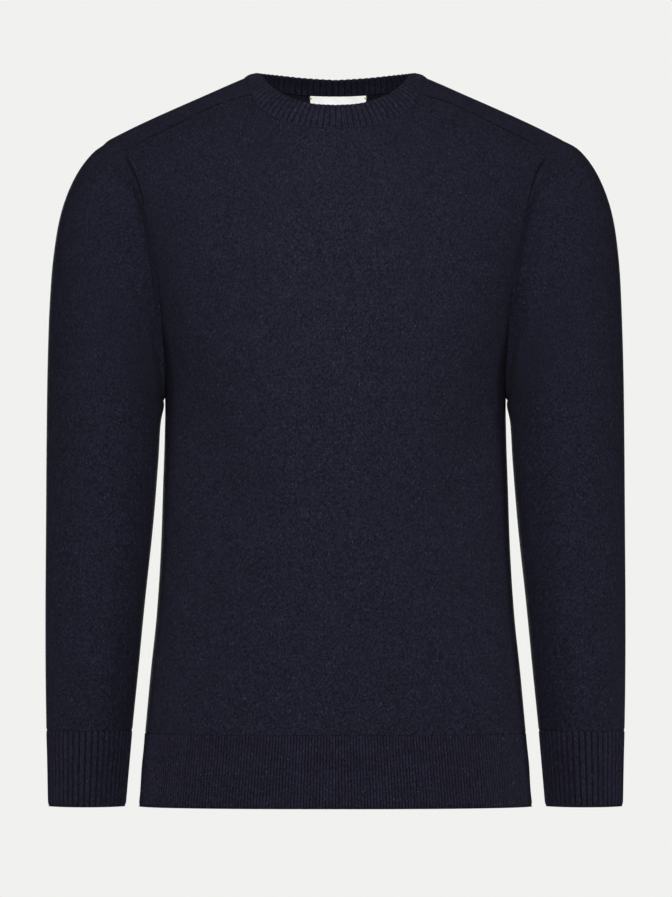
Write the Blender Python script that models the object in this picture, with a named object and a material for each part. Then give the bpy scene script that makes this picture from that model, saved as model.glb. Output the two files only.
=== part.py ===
"""A crewneck sweater in fine lambswool knit, filled out as if worn and empty inside.

Every size below is in millimetres, and each mesh is made in metres. The frame is the wearer's: +Z up, -Y
the front, +X the wearer's left. The origin lies between the shoulders, level with the sides of the neck,
so heights below it are negative.

One smooth surface stands for the whole torso. Its front and back panels, hem bands and label are all
read from that surface, and the sleeves and the neckband start on the panels' own edges.
"""

import bmesh
import bpy
import numpy as np

MM = 0.001

# Cloth
WALL = 2.0
SEAM_GAP = 0.3

# Levels, from the hem up
HEM_EDGE = -693.3
HEM_TOP = -623.7
UNDERARM = -304.0
CUFF_TOP_STATION = 11
CUFF_EDGE_STATION = 12

# Shoulders
SHOULDER_HALF_WIDTH = 236.0
SHOULDER_POWER = 2.25
FRONT_SHOULDER_FALL = 221.0
BACK_SHOULDER_FALL = 190.0
SHOULDER_POINT = 215.0
SEAM_END = 203.0
NECK_SHARE = 0.3
BACK_NECK_LEAN = np.radians(32.4)

# Ribbed bands
HEM_RIBS = 296
HEM_RIB_DEPTH = 0.7
HEM_WALL = 2.4
CUFF_RIBS = 35
CUFF_RIB_DEPTH = 1.0
CUFF_WALL = 2.6
NECK_RIBS = 106
NECK_RIB_DEPTH = 0.9
NECKBAND_WALL = 3.4
NECKBAND_BULGE = 1.2
CREST_RISE = 0.9
PAIRED_RIB_PHASES = (0.0, 0.45, 0.55, 0.9)
COLUMNS_PER_LINING = 4

# Label, against the back panel's inside, its middle a little to the wearer's left
LABEL_WIDTH = 54.0
LABEL_MIDDLE = 2.6
LABEL_DROP = 0.8
LABEL_LENGTH = 25.0
LABEL_GAP = 0.5
LABEL_WALL = 1.0

# The neckband's rings, by their share of the way from the neck seam to its top edge
BAND_OUTER_RINGS = (0.0, 0.5, 0.93)
BAND_INNER_RINGS = (0.02, 0.93)
CREST_SCALLOP = 0.5

# How finely each piece is divided
NECK_COLUMNS = 6
SHOULDER_COLUMNS = 7
BODY_ROWS = 10
FRONT_ARMHOLE_ROWS = 10
BACK_ARMHOLE_ROWS = 12
STRIP_ROWS = 2
EDGE_HOLD = 1.5
SLEEVE_ROWS = (0.0, 0.35, 0.8, 1.3, 1.8, 2.4, 3.0, 3.7, 4.5, 5.5, 6.5, 7.5, 8.5, 9.5, 10.3, 11.0)

QUARTER = np.pi / 2

# Edges that bend by more than this are sharp: on plain cloth only its rims, on a rib each furrow too
SOFT_CREASE = np.radians(50)
RIB_CREASE = np.radians(22)


class Table:
    """Rows of named columns, read anywhere along the first column on a smooth curve through the rows."""

    def __init__(self, names, *rows):
        self.columns = dict(zip(names.split(), np.array(rows, float).T))
        self.places = next(iter(self.columns.values()))

    def read(self, name, at):
        values = self.columns[name]
        steps = np.diff(self.places)
        slopes = np.diff(values) / steps
        inner = (slopes[:-1] * steps[1:] + slopes[1:] * steps[:-1]) / (steps[:-1] + steps[1:])
        tangents = np.concatenate([slopes[:1], inner, slopes[-1:]])
        at = np.clip(at, self.places[0], self.places[-1])
        i = np.clip(np.searchsorted(self.places, at) - 1, 0, len(steps) - 1)
        t = (at - self.places[i]) / steps[i]
        start = (1 + 2 * t) * (1 - t) ** 2 * values[i] + t * (1 - t) ** 2 * steps[i] * tangents[i]
        end = t**2 * (3 - 2 * t) * values[i + 1] + t**2 * (t - 1) * steps[i] * tangents[i + 1]
        return start + end


# Level sections of the torso: half width, depth to the front and to the back, and how square it is
TORSO = Table(
    "height half_width front back power",
    (-693.3, 188.0, 88.0, 83.0, 2.36),
    (-655.0, 184.8, 91.0, 86.0, 2.32),
    (-609.0, 180.5, 95.0, 89.0, 2.27),
    (-563.0, 176.2, 98.0, 91.0, 2.20),
    (-518.0, 171.4, 101.0, 92.0, 2.14),
    (-449.0, 166.8, 106.0, 94.0, 2.08),
    (-390.0, 164.8, 110.0, 98.0, 2.05),
    (-340.0, 163.2, 114.0, 104.0, 2.05),
    (-304.0, 162.9, 116.5, 108.5, 2.12),
    (-290.0, 163.7, 117.0, 110.0, 2.16),
    (-265.0, 166.4, 118.0, 112.0, 2.26),
    (-235.0, 171.0, 119.0, 114.0, 2.37),
    (-205.0, 177.2, 119.0, 115.0, 2.44),
    (-175.0, 188.0, 119.0, 115.0, 2.46),
    (-150.0, 200.0, 118.5, 115.0, 2.43),
    (-130.0, 213.0, 118.0, 114.5, 2.38),
    (-110.0, 228.0, 118.0, 114.0, 2.32),
    (-90.0, 238.0, 118.0, 113.5, 2.27),
    (-70.0, 238.0, 118.0, 113.0, 2.25),
    (-50.0, 236.0, 118.0, 113.0, 2.25),
    (20.0, 236.0, 118.0, 113.0, 2.25),
)

# The top line of the shoulders, from the middle of the neck outwards
RIDGE = Table(
    "out height",
    (0.0, 18.0),
    (6.0, 17.95),
    (45.0, 14.2),
    (75.0, 6.4),
    (95.5, -1.9),
    (121.8, -13.4),
    (148.0, -24.8),
    (173.8, -36.3),
    (197.7, -47.8),
    (218.7, -59.4),
    (236.0, -72.0),
)

# Seams as they show from the front
FRONT_NECKLINE = Table(
    "out height",
    (0.0, -46.3),
    (23.0, -44.5),
    (48.0, -38.2),
    (68.0, -27.2),
    (83.0, -15.4),
)
FORWARD_SEAM = Table(
    "out height",
    (83.0, -15.4),
    (104.0, -21.4),
    (126.5, -30.8),
    (151.0, -43.2),
    (174.5, -54.4),
    (203.0, -70.0),
)
ARMHOLE = Table(
    "height front_out back_out",
    (-304.0, 162.9, 162.9),
    (-290.0, 163.1, 163.1),
    (-265.0, 163.8, 164.2),
    (-235.0, 165.2, 166.6),
    (-205.0, 167.4, 170.4),
    (-175.0, 171.5, 176.0),
    (-150.0, 176.6, 182.2),
    (-130.0, 180.6, 188.0),
    (-110.0, 185.0, 194.5),
    (-90.0, 191.5, 202.5),
    (-80.0, 197.0, 206.8),
    (-70.0, 203.0, 211.2),
    (-60.4, 215.0, 215.0),
)

# The sleeve, ring by ring: its outer and inner edge as seen from the front, and how far it reaches
# towards the front and the back
SLEEVE = Table(
    "station outer_out outer_height inner_out inner_height front back power",
    (0, 215.3, -60.3, 163.3, -303.9, -48.0, 50.0, 2.3),
    (1, 233.5, -69.5, 163.5, -304.6, -53.0, 54.5, 2.4),
    (2, 250.9, -92.4, 163.8, -305.4, -56.5, 58.5, 2.5),
    (3, 263.9, -127.0, 164.1, -306.6, -58.5, 62.0, 2.45),
    (4, 270.6, -172.0, 163.6, -308.8, -59.0, 64.5, 2.35),
    (5, 273.5, -225.0, 163.9, -313.5, -58.0, 66.5, 2.2),
    (6, 275.2, -285.0, 167.0, -330.0, -55.0, 67.5, 2.1),
    (7, 276.0, -350.0, 169.2, -366.0, -50.5, 68.0, 2.0),
    (8, 276.5, -425.0, 174.2, -427.0, -46.0, 64.0, 2.0),
    (9, 277.0, -500.0, 182.0, -500.0, -45.0, 54.0, 2.0),
    (10, 276.9, -565.0, 188.3, -565.0, -44.0, 43.0, 2.0),
    (11, 276.1, -620.8, 193.9, -620.8, -42.0, 32.0, 2.0),
    (12, 274.5, -693.3, 200.2, -693.3, -39.0, 17.0, 2.0),
)

# The neckband's top edge, by its share of the way from the middle of the front to that of the back
NECK_CREST = Table(
    "share out forward height",
    (0.00, 0.0, -77.5, -27.5),
    (0.09, 19.0, -76.5, -26.4),
    (0.19, 38.5, -70.3, -21.8),
    (0.28, 53.5, -59.0, -14.6),
    (0.37, 64.5, -41.5, -5.6),
    (0.43, 69.5, -27.5, 1.3),
    (0.49, 73.5, -13.5, 5.2),
    (0.56, 76.5, 2.0, 6.5),
    (0.65, 75.5, 18.0, 6.8),
    (0.78, 56.5, 36.0, 5.5),
    (0.89, 29.5, 46.5, 3.0),
    (1.00, 0.0, 50.0, 1.3),
)

# Soft troughs that run down the torso from the underarms and across the small of the back. A trough on
# side -1 is in front and one on side 1 behind, and it fades within this depth of the side seams.
FOLD_FADE = 50.0
TORSO_FOLDS = Table(
    "fold side from_out from_height to_out to_height width depth",
    (0, -1, 150.0, -300.0, 84.0, -455.0, 26.0, 2.6),
    (1, -1, -148.0, -285.0, -70.0, -430.0, 28.0, 2.8),
    (2, -1, 132.0, -395.0, 120.0, -560.0, 22.0, 1.8),
    (3, -1, -130.0, -370.0, -112.0, -545.0, 24.0, 1.6),
    (4, 1, 146.0, -275.0, 62.0, -395.0, 24.0, 3.4),
    (5, 1, -150.0, -285.0, -74.0, -420.0, 26.0, 3.0),
    (6, 1, 92.0, -385.0, -38.0, -430.0, 17.0, 2.6),
    (7, 1, -104.0, -440.0, 28.0, -478.0, 19.0, 2.2),
)

# Where each sleeve sinks beside its armhole seam, by the share of the way from shoulder to underarm. The
# fold is steep on the seam's side and eases out on the sleeve's.
ARMHOLE_BREAK = Table(
    "share away depth",
    (0.00, 24.0, 0.0),
    (0.08, 24.0, 0.0),
    (0.14, 23.0, 0.5),
    (0.20, 18.0, 3.2),
    (0.26, 11.0, 6.3),
    (0.34, 6.5, 8.0),
    (0.60, 5.5, 8.0),
    (0.80, 5.0, 5.0),
    (0.93, 5.0, 1.5),
    (1.00, 5.0, 0.0),
)
BREAK_NEAR_WIDTH = 5.0
BREAK_FAR_WIDTH = 18.0
BREAK_START = 4.0
BACK_BREAK_SHARE = 0.7


def across(turn, power):
    """How far out a level section lies at an angle from straight ahead, as a share of its half width."""
    wave = np.sin(turn)
    return np.sign(wave) * np.abs(wave) ** (2 / power)


def ahead(turn, power):
    """The same for its depth."""
    wave = np.cos(turn)
    return np.sign(wave) * np.abs(wave) ** (2 / power)


def ridge_height(turn):
    return RIDGE.read("height", SHOULDER_HALF_WIDTH * np.abs(across(turn, SHOULDER_POWER)))


def fall(over):
    return np.where(over >= 0, FRONT_SHOULDER_FALL, BACK_SHOULDER_FALL)


def bare_torso(turn, over):
    """A point of the torso before its folds.

    turn is the angle out from the middle, and over is how far the cloth has come over the shoulder from
    its top line: positive down the front, negative down the back.
    """
    reach = np.abs(over)
    rounded = np.minimum(reach, QUARTER)
    height = ridge_height(turn) - fall(over) * (1 - np.cos(rounded) + reach - rounded)
    power = TORSO.read("power", height)
    depth = np.where(over >= 0, -TORSO.read("front", height), TORSO.read("back", height))
    out = TORSO.read("half_width", height) * across(turn, power)
    return np.stack([out, depth * np.sin(rounded) * ahead(turn, power), height], -1)


def normals(surface, first, second, step=1e-4):
    """Unit normals of surface(first, second), from differences small enough to stand for slopes."""
    one = surface(first + step, second) - surface(first - step, second)
    other = surface(first, second + step) - surface(first, second - step)
    normal = np.cross(other, one)
    return normal / np.linalg.norm(normal, axis=-1, keepdims=True)


def torso_folds(points):
    """How deep the soft troughs are at each point."""
    total = np.zeros(points.shape[:-1])
    for fold in range(len(TORSO_FOLDS.places)):
        row = {name: column[fold] for name, column in TORSO_FOLDS.columns.items()}
        start = np.array([row["from_out"], row["from_height"]])
        run = np.array([row["to_out"], row["to_height"]]) - start
        offset = points[..., [0, 2]] - start
        share = np.clip(offset @ run / (run @ run), 0, 1)
        away = np.linalg.norm(offset - share[..., None] * run, axis=-1)
        facing = np.clip(points[..., 1] * row["side"] / FOLD_FADE, 0, 1)
        total += row["depth"] * facing * np.sin(np.pi * share) * np.exp(-((away / row["width"]) ** 2))
    return total


def torso(turn, over):
    bare = bare_torso(turn, over)
    sunk = torso_folds(bare)[..., None]
    return bare - sunk * normals(bare_torso, turn, over)


def over_at(turn, height, side):
    """How far over the shoulder a level lies, at the front with side 1 and at the back with side -1."""
    drop = (ridge_height(turn) - height) / fall(side)
    return side * np.where(drop < 1, np.arccos(np.clip(1 - drop, -1, 1)), QUARTER + drop - 1)


def turn_at(out, height):
    share = np.clip(out / TORSO.read("half_width", height), 0, 1)
    return np.arcsin(share ** (TORSO.read("power", height) / 2))


def evenly(points, steps):
    """Shares of the way along a line of points at which to divide it into even steps."""
    lengths = np.linalg.norm(np.diff(points, axis=0), axis=1)
    along = np.concatenate([[0], np.cumsum(lengths)])
    return np.interp(np.linspace(0, along[-1], steps + 1), along, np.linspace(0, 1, len(points)))


def rising_shares(column, side, top, middle_top, steps):
    """How far each row has risen from the underarm, at the middle of a panel and at its armhole edge."""
    fine = np.linspace(UNDERARM, top, 400)
    turns = turn_at(ARMHOLE.read(column, fine), fine)
    edge = bare_torso(turns, over_at(turns, fine, side))
    fine = np.linspace(over_at(0.0, UNDERARM, side), middle_top, 400)
    middle = bare_torso(0 * fine, fine)
    return evenly(middle, steps)[1:], evenly(edge, steps)[1:]


def blended(shares, at_middle, at_edge):
    """A value for each row and column that eases from the middle of a panel to its edge."""
    near = np.abs(shares) ** EDGE_HOLD
    return at_middle[:, None] * (1 - near) + at_edge[:, None] * near


def column_shares():
    """Each column's share of the way from the middle to the side, for both sides."""
    neck = np.linspace(0, NECK_SHARE, NECK_COLUMNS + 1)
    shoulder = np.linspace(NECK_SHARE, 1, SHOULDER_COLUMNS + 1)
    half = np.concatenate([neck, shoulder[1:]])
    return np.concatenate([-half[:0:-1], half])


def front_top(shares, end_turn):
    """Heights of the front's top edge: the neckline, then the forward shoulder seam."""
    height = np.full(shares.shape, FORWARD_SEAM.columns["height"][-1])
    for _ in range(4):
        out = TORSO.read("half_width", height) * np.abs(across(shares * end_turn, SHOULDER_POWER))
        neck = FRONT_NECKLINE.read("height", out)
        height = np.where(np.abs(shares) < NECK_SHARE - 1e-6, neck, FORWARD_SEAM.read("height", out))
    return height


class Panels:
    """The places of the front and back panels' points on the torso, as turns and overs by row."""

    def __init__(self):
        self.shares = column_shares()
        self.seam_end_height = FORWARD_SEAM.columns["height"][-1]
        self.seam_end_turn = float(turn_at(SEAM_END, self.seam_end_height))
        self.ridge_end_turn = float(np.arcsin((SHOULDER_POINT / SHOULDER_HALF_WIDTH) ** (SHOULDER_POWER / 2)))
        self.top = front_top(self.shares, self.seam_end_turn)
        self.seam_over = over_at(self.shares * self.seam_end_turn, self.top, 1)

    def body_rows(self, side):
        turns = np.repeat(self.shares[None] * QUARTER, BODY_ROWS + 1, axis=0)
        heights = np.linspace(HEM_TOP + SEAM_GAP / 2, UNDERARM, BODY_ROWS + 1)[:, None]
        return turns, over_at(turns, heights + 0 * turns, side)

    def front(self):
        below = self.body_rows(1)
        middle_top = self.seam_over[len(self.shares) // 2]
        rises = rising_shares("front_out", 1, self.seam_end_height, middle_top, FRONT_ARMHOLE_ROWS)
        levels = UNDERARM + (self.seam_end_height - UNDERARM) * rises[1]
        edge_turns = turn_at(ARMHOLE.read("front_out", levels), levels)
        edge_overs = over_at(edge_turns, levels, 1)
        start = below[1][-1]
        gone = (edge_overs - start[-1]) / (self.seam_over[-1] - start[-1])
        risen = blended(self.shares, rises[0], gone)
        turns = self.shares * edge_turns[:, None]
        overs = start + (self.seam_over - start) * risen
        return np.vstack([below[0], turns]), np.vstack([below[1], overs])

    def back(self):
        below = self.body_rows(-1)
        ridge_end = ARMHOLE.columns["height"][-1]
        rises = rising_shares("back_out", -1, ridge_end, -BACK_NECK_LEAN, BACK_ARMHOLE_ROWS)
        levels = UNDERARM + (ridge_end - UNDERARM) * rises[1]
        edge_turns = turn_at(ARMHOLE.read("back_out", levels), levels)
        edge_turns[-1] = self.ridge_end_turn
        edge_overs = over_at(edge_turns, levels, -1)
        edge_overs[-1] = 0
        start = below[1][-1]
        risen = blended(self.shares, rises[0], 1 - edge_overs / start[-1])
        neck = np.sqrt(np.clip(1 - (self.shares / NECK_SHARE) ** 2, 0, 1)) * -BACK_NECK_LEAN
        turns = self.shares * edge_turns[:, None]
        overs = start + (neck - start) * risen
        reached = np.arange(1, STRIP_ROWS + 1)[:, None] / STRIP_ROWS
        strip_turns = self.shares * (self.ridge_end_turn + (self.seam_end_turn - self.ridge_end_turn) * reached)
        strip_overs = self.seam_over * reached
        return np.vstack([below[0], turns, strip_turns]), np.vstack([below[1], overs, strip_overs])


def apart(points, side):
    """The panel's side edges moved clear of the side seam."""
    below = slice(0, BODY_ROWS + 1)
    for edge in (0, -1):
        points[below, edge, 1] = side * SEAM_GAP / 2
    return points


class Shell:
    """A panel's outer points, its inner points and the directions between them."""

    def __init__(self, turns, overs, side):
        self.normal = normals(torso, turns, overs)
        outer = torso(turns, overs)
        self.outer = apart(outer, side)
        self.inner = apart(outer - WALL * self.normal, side)


def shift_row(shell, row, columns, distance):
    """Moves the end row of a panel back along its columns, to leave half the gap of a seam."""
    run = shell.outer[row, columns] - shell.outer[row - 1, columns]
    shift = distance * run / np.linalg.norm(run, axis=-1, keepdims=True)
    shell.outer[row, columns] -= shift
    shell.inner[row, columns] -= shift


def material(name, colour, roughness):
    made = bpy.data.materials.new(name)
    made.use_nodes = True
    shader = made.node_tree.nodes["Principled BSDF"]
    shader.inputs["Base Color"].default_value = (*colour, 1.0)
    shader.inputs["Roughness"].default_value = roughness
    shader.inputs["Metallic"].default_value = 0.0
    return made


def add_piece(name, points, faces, finish, collection, crease=SOFT_CREASE):
    """A closed piece of the sweater, from points in millimetres."""
    made = bmesh.new()
    corners = [made.verts.new(point * MM) for point in points]
    for face in faces:
        made.faces.new([corners[i] for i in face])
    bmesh.ops.delete(made, geom=[v for v in made.verts if not v.link_faces], context="VERTS")
    bmesh.ops.recalc_face_normals(made, faces=made.faces)
    mesh = bpy.data.meshes.new(name)
    made.to_mesh(mesh)
    made.free()
    mesh.shade_smooth()
    mesh.set_sharp_from_angle(angle=crease)
    mesh.materials.append(finish)
    piece = bpy.data.objects.new(name, mesh)
    collection.objects.link(piece)
    return piece


def wall_faces(rows, columns, cells, round_and_round=False):
    """Faces of the two sides and the rim of a wall whose outer and inner points share one grid."""
    points = rows * columns
    edges = {}
    faces = []
    for row in range(rows - 1):
        for column in range(columns - (not round_and_round)):
            if not cells(row, column):
                continue
            beside = (column + 1) % columns
            corners = [
                row * columns + column,
                row * columns + beside,
                (row + 1) * columns + beside,
                (row + 1) * columns + column,
            ]
            faces.append(corners)
            faces.append([points + corner for corner in reversed(corners)])
            for start, end in zip(corners, corners[1:] + corners[:1]):
                edges[tuple(sorted((start, end)))] = edges.get(tuple(sorted((start, end))), 0) + 1
    for (start, end), uses in edges.items():
        if uses == 1:
            faces.append([start, end, points + end, points + start])
    return faces


def everywhere(_row, _column):
    return True


def stitch(outer, inner, each):
    """Triangles between a ribbed edge and a plain one that has one step for each few of its own."""
    faces = []
    for step in range(len(inner) - 1):
        first = step * each
        middle = first + each // 2
        faces += [(inner[step], outer[i], outer[i + 1]) for i in range(first, middle)]
        faces.append((inner[step], outer[middle], inner[step + 1]))
        faces += [(inner[step + 1], outer[i], outer[i + 1]) for i in range(middle, first + each)]
    return faces


def ribbed_faces(outer_rows, outer_count, inner_rows, inner_count, closed):
    """Faces of a band whose ribbed outside and plain inside are joined along both edges."""
    offset = outer_rows * outer_count
    wrap = [0] if closed else []
    outer = [[row * outer_count + i for i in [*range(outer_count), *wrap]] for row in range(outer_rows)]
    inner = [[offset + row * inner_count + i for i in [*range(inner_count), *wrap]] for row in range(inner_rows)]
    faces = []
    for rows in (outer, inner):
        for lower, upper in zip(rows, rows[1:]):
            faces += [(lower[i], lower[i + 1], upper[i + 1], upper[i]) for i in range(len(lower) - 1)]
    faces += stitch(outer[0], inner[0], COLUMNS_PER_LINING)
    faces += stitch(outer[-1], inner[-1], COLUMNS_PER_LINING)
    if not closed:
        for end in (0, -1):
            faces.append([row[end] for row in outer] + [row[end] for row in reversed(inner)])
    return faces


def hem_band(side):
    """Half of the hem: one-by-one ribs a stitch apart, raised over a plain inside."""
    middle = (HEM_EDGE + HEM_TOP) / 2
    fine = np.linspace(-QUARTER, QUARTER, 2001)
    line = bare_torso(fine, over_at(fine, middle, side))
    turns = np.interp(evenly(line, HEM_RIBS), np.linspace(0, 1, len(fine)), fine)
    heights = np.array([HEM_EDGE, HEM_TOP - SEAM_GAP / 2])[:, None]
    grid = np.repeat(turns[None], 2, axis=0)
    overs = over_at(grid, heights + 0 * grid, side)
    normal = normals(bare_torso, grid, overs)
    surface = bare_torso(grid, overs)
    sunk = HEM_RIB_DEPTH * (np.arange(HEM_RIBS + 1) % 2 == 0)
    outer = surface - sunk[None, :, None] * normal
    inner = (surface - HEM_WALL * normal)[:, ::COLUMNS_PER_LINING]
    for points in (outer, inner):
        points[..., 2] = heights
        points[:, [0, -1], 1] = side * -SEAM_GAP / 2
    faces = ribbed_faces(2, outer.shape[1], 2, inner.shape[1], closed=False)
    return np.vstack([outer.reshape(-1, 3), inner.reshape(-1, 3)]), faces


def bare_sleeve(angle, station):
    """A point of the left sleeve before it is drawn to the armhole; angle 0 is its outer edge."""
    edges = {name: SLEEVE.read(name, station) for name in SLEEVE.columns}
    outer = np.stack([edges["outer_out"], 0 * station, edges["outer_height"]], -1)
    inner = np.stack([edges["inner_out"], 0 * station, edges["inner_height"]], -1)
    middle = (edges["front"] + edges["back"]) / 2
    half = (edges["back"] - edges["front"]) / 2
    out, forward = ahead(angle, edges["power"]), across(angle, edges["power"])
    point = (outer + inner) / 2 + (outer - inner) / 2 * out[..., None]
    point[..., 1] = middle * forward**2 - half * forward
    return point


class Sleeve:
    """The left sleeve, whose first ring is the armhole's own edge.

    Over its first stations the sleeve eases from that edge to the rings of its table.
    """

    PULL_STATIONS = 4.5
    PULL_POWER = 2.5
    MARGIN = 0.02

    def __init__(self, seam, seam_normals):
        lengths = np.linalg.norm(np.diff(np.vstack([seam, seam[:1]]), axis=0), axis=1)
        along = np.concatenate([[0], np.cumsum(lengths)])
        underarm = int(np.argmin(seam[:, 2]))
        half = along[underarm], along[-1] - along[underarm]
        front = np.pi * along[: underarm + 1] / half[0]
        back = np.pi + np.pi * (along[underarm + 1 : -1] - half[0]) / half[1]
        self.angles = np.concatenate([front, back])
        tangent = np.roll(seam, -1, axis=0) - np.roll(seam, 1, axis=0)
        into = np.cross(seam_normals, tangent)
        self.into = into / np.linalg.norm(into, axis=-1, keepdims=True)
        self.start = seam + SEAM_GAP * (self.into + seam_normals)
        self.pull = self.start - bare_sleeve(self.angles, np.zeros(len(seam)))

    def drawn(self, angle, station):
        wound = np.concatenate([self.angles, [2 * np.pi]])
        pull = np.stack([np.interp(angle % (2 * np.pi), wound, np.append(c, c[0])) for c in self.pull.T], -1)
        fade = np.clip(1 - station / self.PULL_STATIONS, 0, 1) ** self.PULL_POWER
        return bare_sleeve(angle, station) + pull * fade[..., None]

    def point(self, angle, station):
        """The drawn sleeve, sunk where it breaks beside the armhole seam."""
        drawn = self.drawn(angle, station)
        away = np.linalg.norm(drawn - self.drawn(angle, 0 * station), axis=-1)
        turned = angle % (2 * np.pi)
        share = np.where(turned <= np.pi, turned, 2 * np.pi - turned) / np.pi
        depth = ARMHOLE_BREAK.read("depth", share) * np.where(turned <= np.pi, 1, BACK_BREAK_SHARE)
        beyond = away - ARMHOLE_BREAK.read("away", share)
        trough = np.exp(-((beyond / np.where(beyond < 0, BREAK_NEAR_WIDTH, BREAK_FAR_WIDTH)) ** 2))
        sunk = depth * trough * np.clip(away / BREAK_START, 0, 1)
        within = np.clip(station, self.MARGIN, CUFF_EDGE_STATION - self.MARGIN)
        return drawn + sunk[..., None] * normals(self.drawn, angle, within)

    def outwards(self, angle, station):
        within = np.clip(station, self.MARGIN, CUFF_EDGE_STATION - self.MARGIN)
        return -normals(self.point, angle, within)

    def walls(self):
        """Outer and inner points of the sleeve from the armhole to the top of the cuff."""
        stations = np.array(SLEEVE_ROWS)
        angle, station = np.meshgrid(self.angles, stations)
        outer = self.point(angle, station)
        normal = self.outwards(angle, station)
        towards = (normal[0] * self.into).sum(axis=-1, keepdims=True)
        normal[0] -= np.maximum(towards, 0) * self.into
        normal /= np.linalg.norm(normal, axis=-1, keepdims=True)
        inner = outer - WALL * normal
        outer[-1, :, 2] += SEAM_GAP / 2
        inner[-1, :, 2] = outer[-1, :, 2]
        return outer, inner

    def cuff(self):
        """Outer and inner points of the cuff: two-by-two ribs, raised over a plain inside."""
        fine = np.linspace(0, 2 * np.pi, 2001)
        line = self.point(fine, np.full(fine.shape, float(CUFF_EDGE_STATION)))
        ribs = (np.arange(CUFF_RIBS)[:, None] + np.array(PAIRED_RIB_PHASES)).ravel()
        even = evenly(line, CUFF_RIBS)
        shares = np.interp(ribs, np.arange(CUFF_RIBS + 1), even)
        angles = shares * 2 * np.pi
        stations = np.array([CUFF_EDGE_STATION, CUFF_TOP_STATION], float)
        angle, station = np.meshgrid(angles, stations)
        surface = self.point(angle, station)
        normal = self.outwards(angle, station)
        sunk = CUFF_RIB_DEPTH * np.tile([0, 0, 1, 1], CUFF_RIBS)
        outer = surface - sunk[None, :, None] * normal
        inner = (surface - CUFF_WALL * normal)[:, ::COLUMNS_PER_LINING]
        for points in (outer, inner):
            points[0, :, 2] = HEM_EDGE
            points[1, :, 2] = surface[1, 0, 2] - SEAM_GAP / 2
        return outer, inner


def neckband(seam, seam_normals):
    """Rings of the neckband, from the neck seam up its ribbed outside, over its top and down inside."""
    closed = np.vstack([seam, seam[:1]])
    lengths = np.linalg.norm(np.diff(closed, axis=0), axis=1)
    along = np.concatenate([[0], np.cumsum(lengths)])
    place = np.linspace(0, along[-1], 2 * NECK_RIBS, endpoint=False)
    foot = np.stack([np.interp(place, along, column) for column in closed.T], -1)
    facing = np.stack([np.interp(place, along, np.append(c, c[0])) for c in seam_normals.T], -1)
    share = place / along[-1] * 2
    side = np.where(share <= 1, 1, -1)
    share = np.where(share <= 1, share, 2 - share)
    crest = np.stack(
        [
            side * NECK_CREST.read("out", share),
            NECK_CREST.read("forward", share),
            NECK_CREST.read("height", share),
        ],
        -1,
    )
    rise = crest - foot
    climb = rise / np.linalg.norm(rise, axis=-1, keepdims=True)
    tangent = np.roll(foot + crest, -1, axis=0) - np.roll(foot + crest, 1, axis=0)
    normal = np.cross(tangent, climb)
    normal /= np.linalg.norm(normal, axis=-1, keepdims=True)
    foot = foot + SEAM_GAP * climb + SEAM_GAP / 2 * facing
    sunk = (NECK_RIB_DEPTH * (np.arange(2 * NECK_RIBS) % 2))[:, None]

    def ring(up, inwards, ribs):
        bulge = NECKBAND_BULGE * np.sin(np.pi * up)
        return foot + up * (crest - foot) + (bulge - inwards - ribs * sunk) * normal

    outer = [ring(up, 0.0, 1.0) for up in BAND_OUTER_RINGS]
    outer.append(ring(1.0, NECKBAND_WALL / 2, 0.0) + (CREST_RISE - CREST_SCALLOP * sunk) * climb)
    inner = [ring(up, NECKBAND_WALL, 0.0) for up in BAND_INNER_RINGS]
    return np.array(outer), np.array(inner)[:, ::COLUMNS_PER_LINING]


def label_grid(back):
    """Outer and inner points of the label, made from the back's own inside points moved inwards."""
    middle = NECK_COLUMNS + SHOULDER_COLUMNS
    top = BODY_ROWS + BACK_ARMHOLE_ROWS
    first_row = np.linalg.norm(back.inner[top, middle] - back.inner[top - 1, middle])
    edges = LABEL_MIDDLE + LABEL_WIDTH / 2 * np.array([-1, 1])
    left, right = np.interp(edges, back.inner[top, :, 0], np.arange(2 * middle + 1))
    columns = [left, middle - 1, middle, middle + 1, right]
    rows = np.array([LABEL_DROP, LABEL_DROP + LABEL_LENGTH / 2, LABEL_DROP + LABEL_LENGTH]) / first_row
    column, row = np.meshgrid(columns, top - rows)

    def on_grid(grid):
        i, j = row.astype(int), column.astype(int)
        up, along = (row - i)[..., None], (column - j)[..., None]
        lower = grid[i, j] * (1 - along) + grid[i, j + 1] * along
        upper = grid[i + 1, j] * (1 - along) + grid[i + 1, j + 1] * along
        return lower * (1 - up) + upper * up

    inside, facing = on_grid(back.inner), on_grid(back.normal)
    return inside - LABEL_GAP * facing, inside - (LABEL_GAP + LABEL_WALL) * facing


def armhole_seam(front, back):
    """The left armhole's edge, from the top of the shoulder down the front and up the back."""
    rows = BODY_ROWS + BACK_ARMHOLE_ROWS
    strip = np.arange(rows, rows + STRIP_ROWS)
    front_edge = np.arange(BODY_ROWS + FRONT_ARMHOLE_ROWS - 1, BODY_ROWS, -1)
    back_edge = np.arange(BODY_ROWS + 1, rows)
    found = []
    for part in ("outer", "normal"):
        ahead_of, behind = getattr(front, part)[:, -1], getattr(back, part)[:, -1]
        seam_end = (ahead_of[-1] + behind[-1]) / 2
        underarm = (ahead_of[BODY_ROWS] + behind[BODY_ROWS]) / 2
        found.append(np.vstack([behind[strip], seam_end, ahead_of[front_edge], underarm, behind[back_edge]]))
    return found


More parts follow.
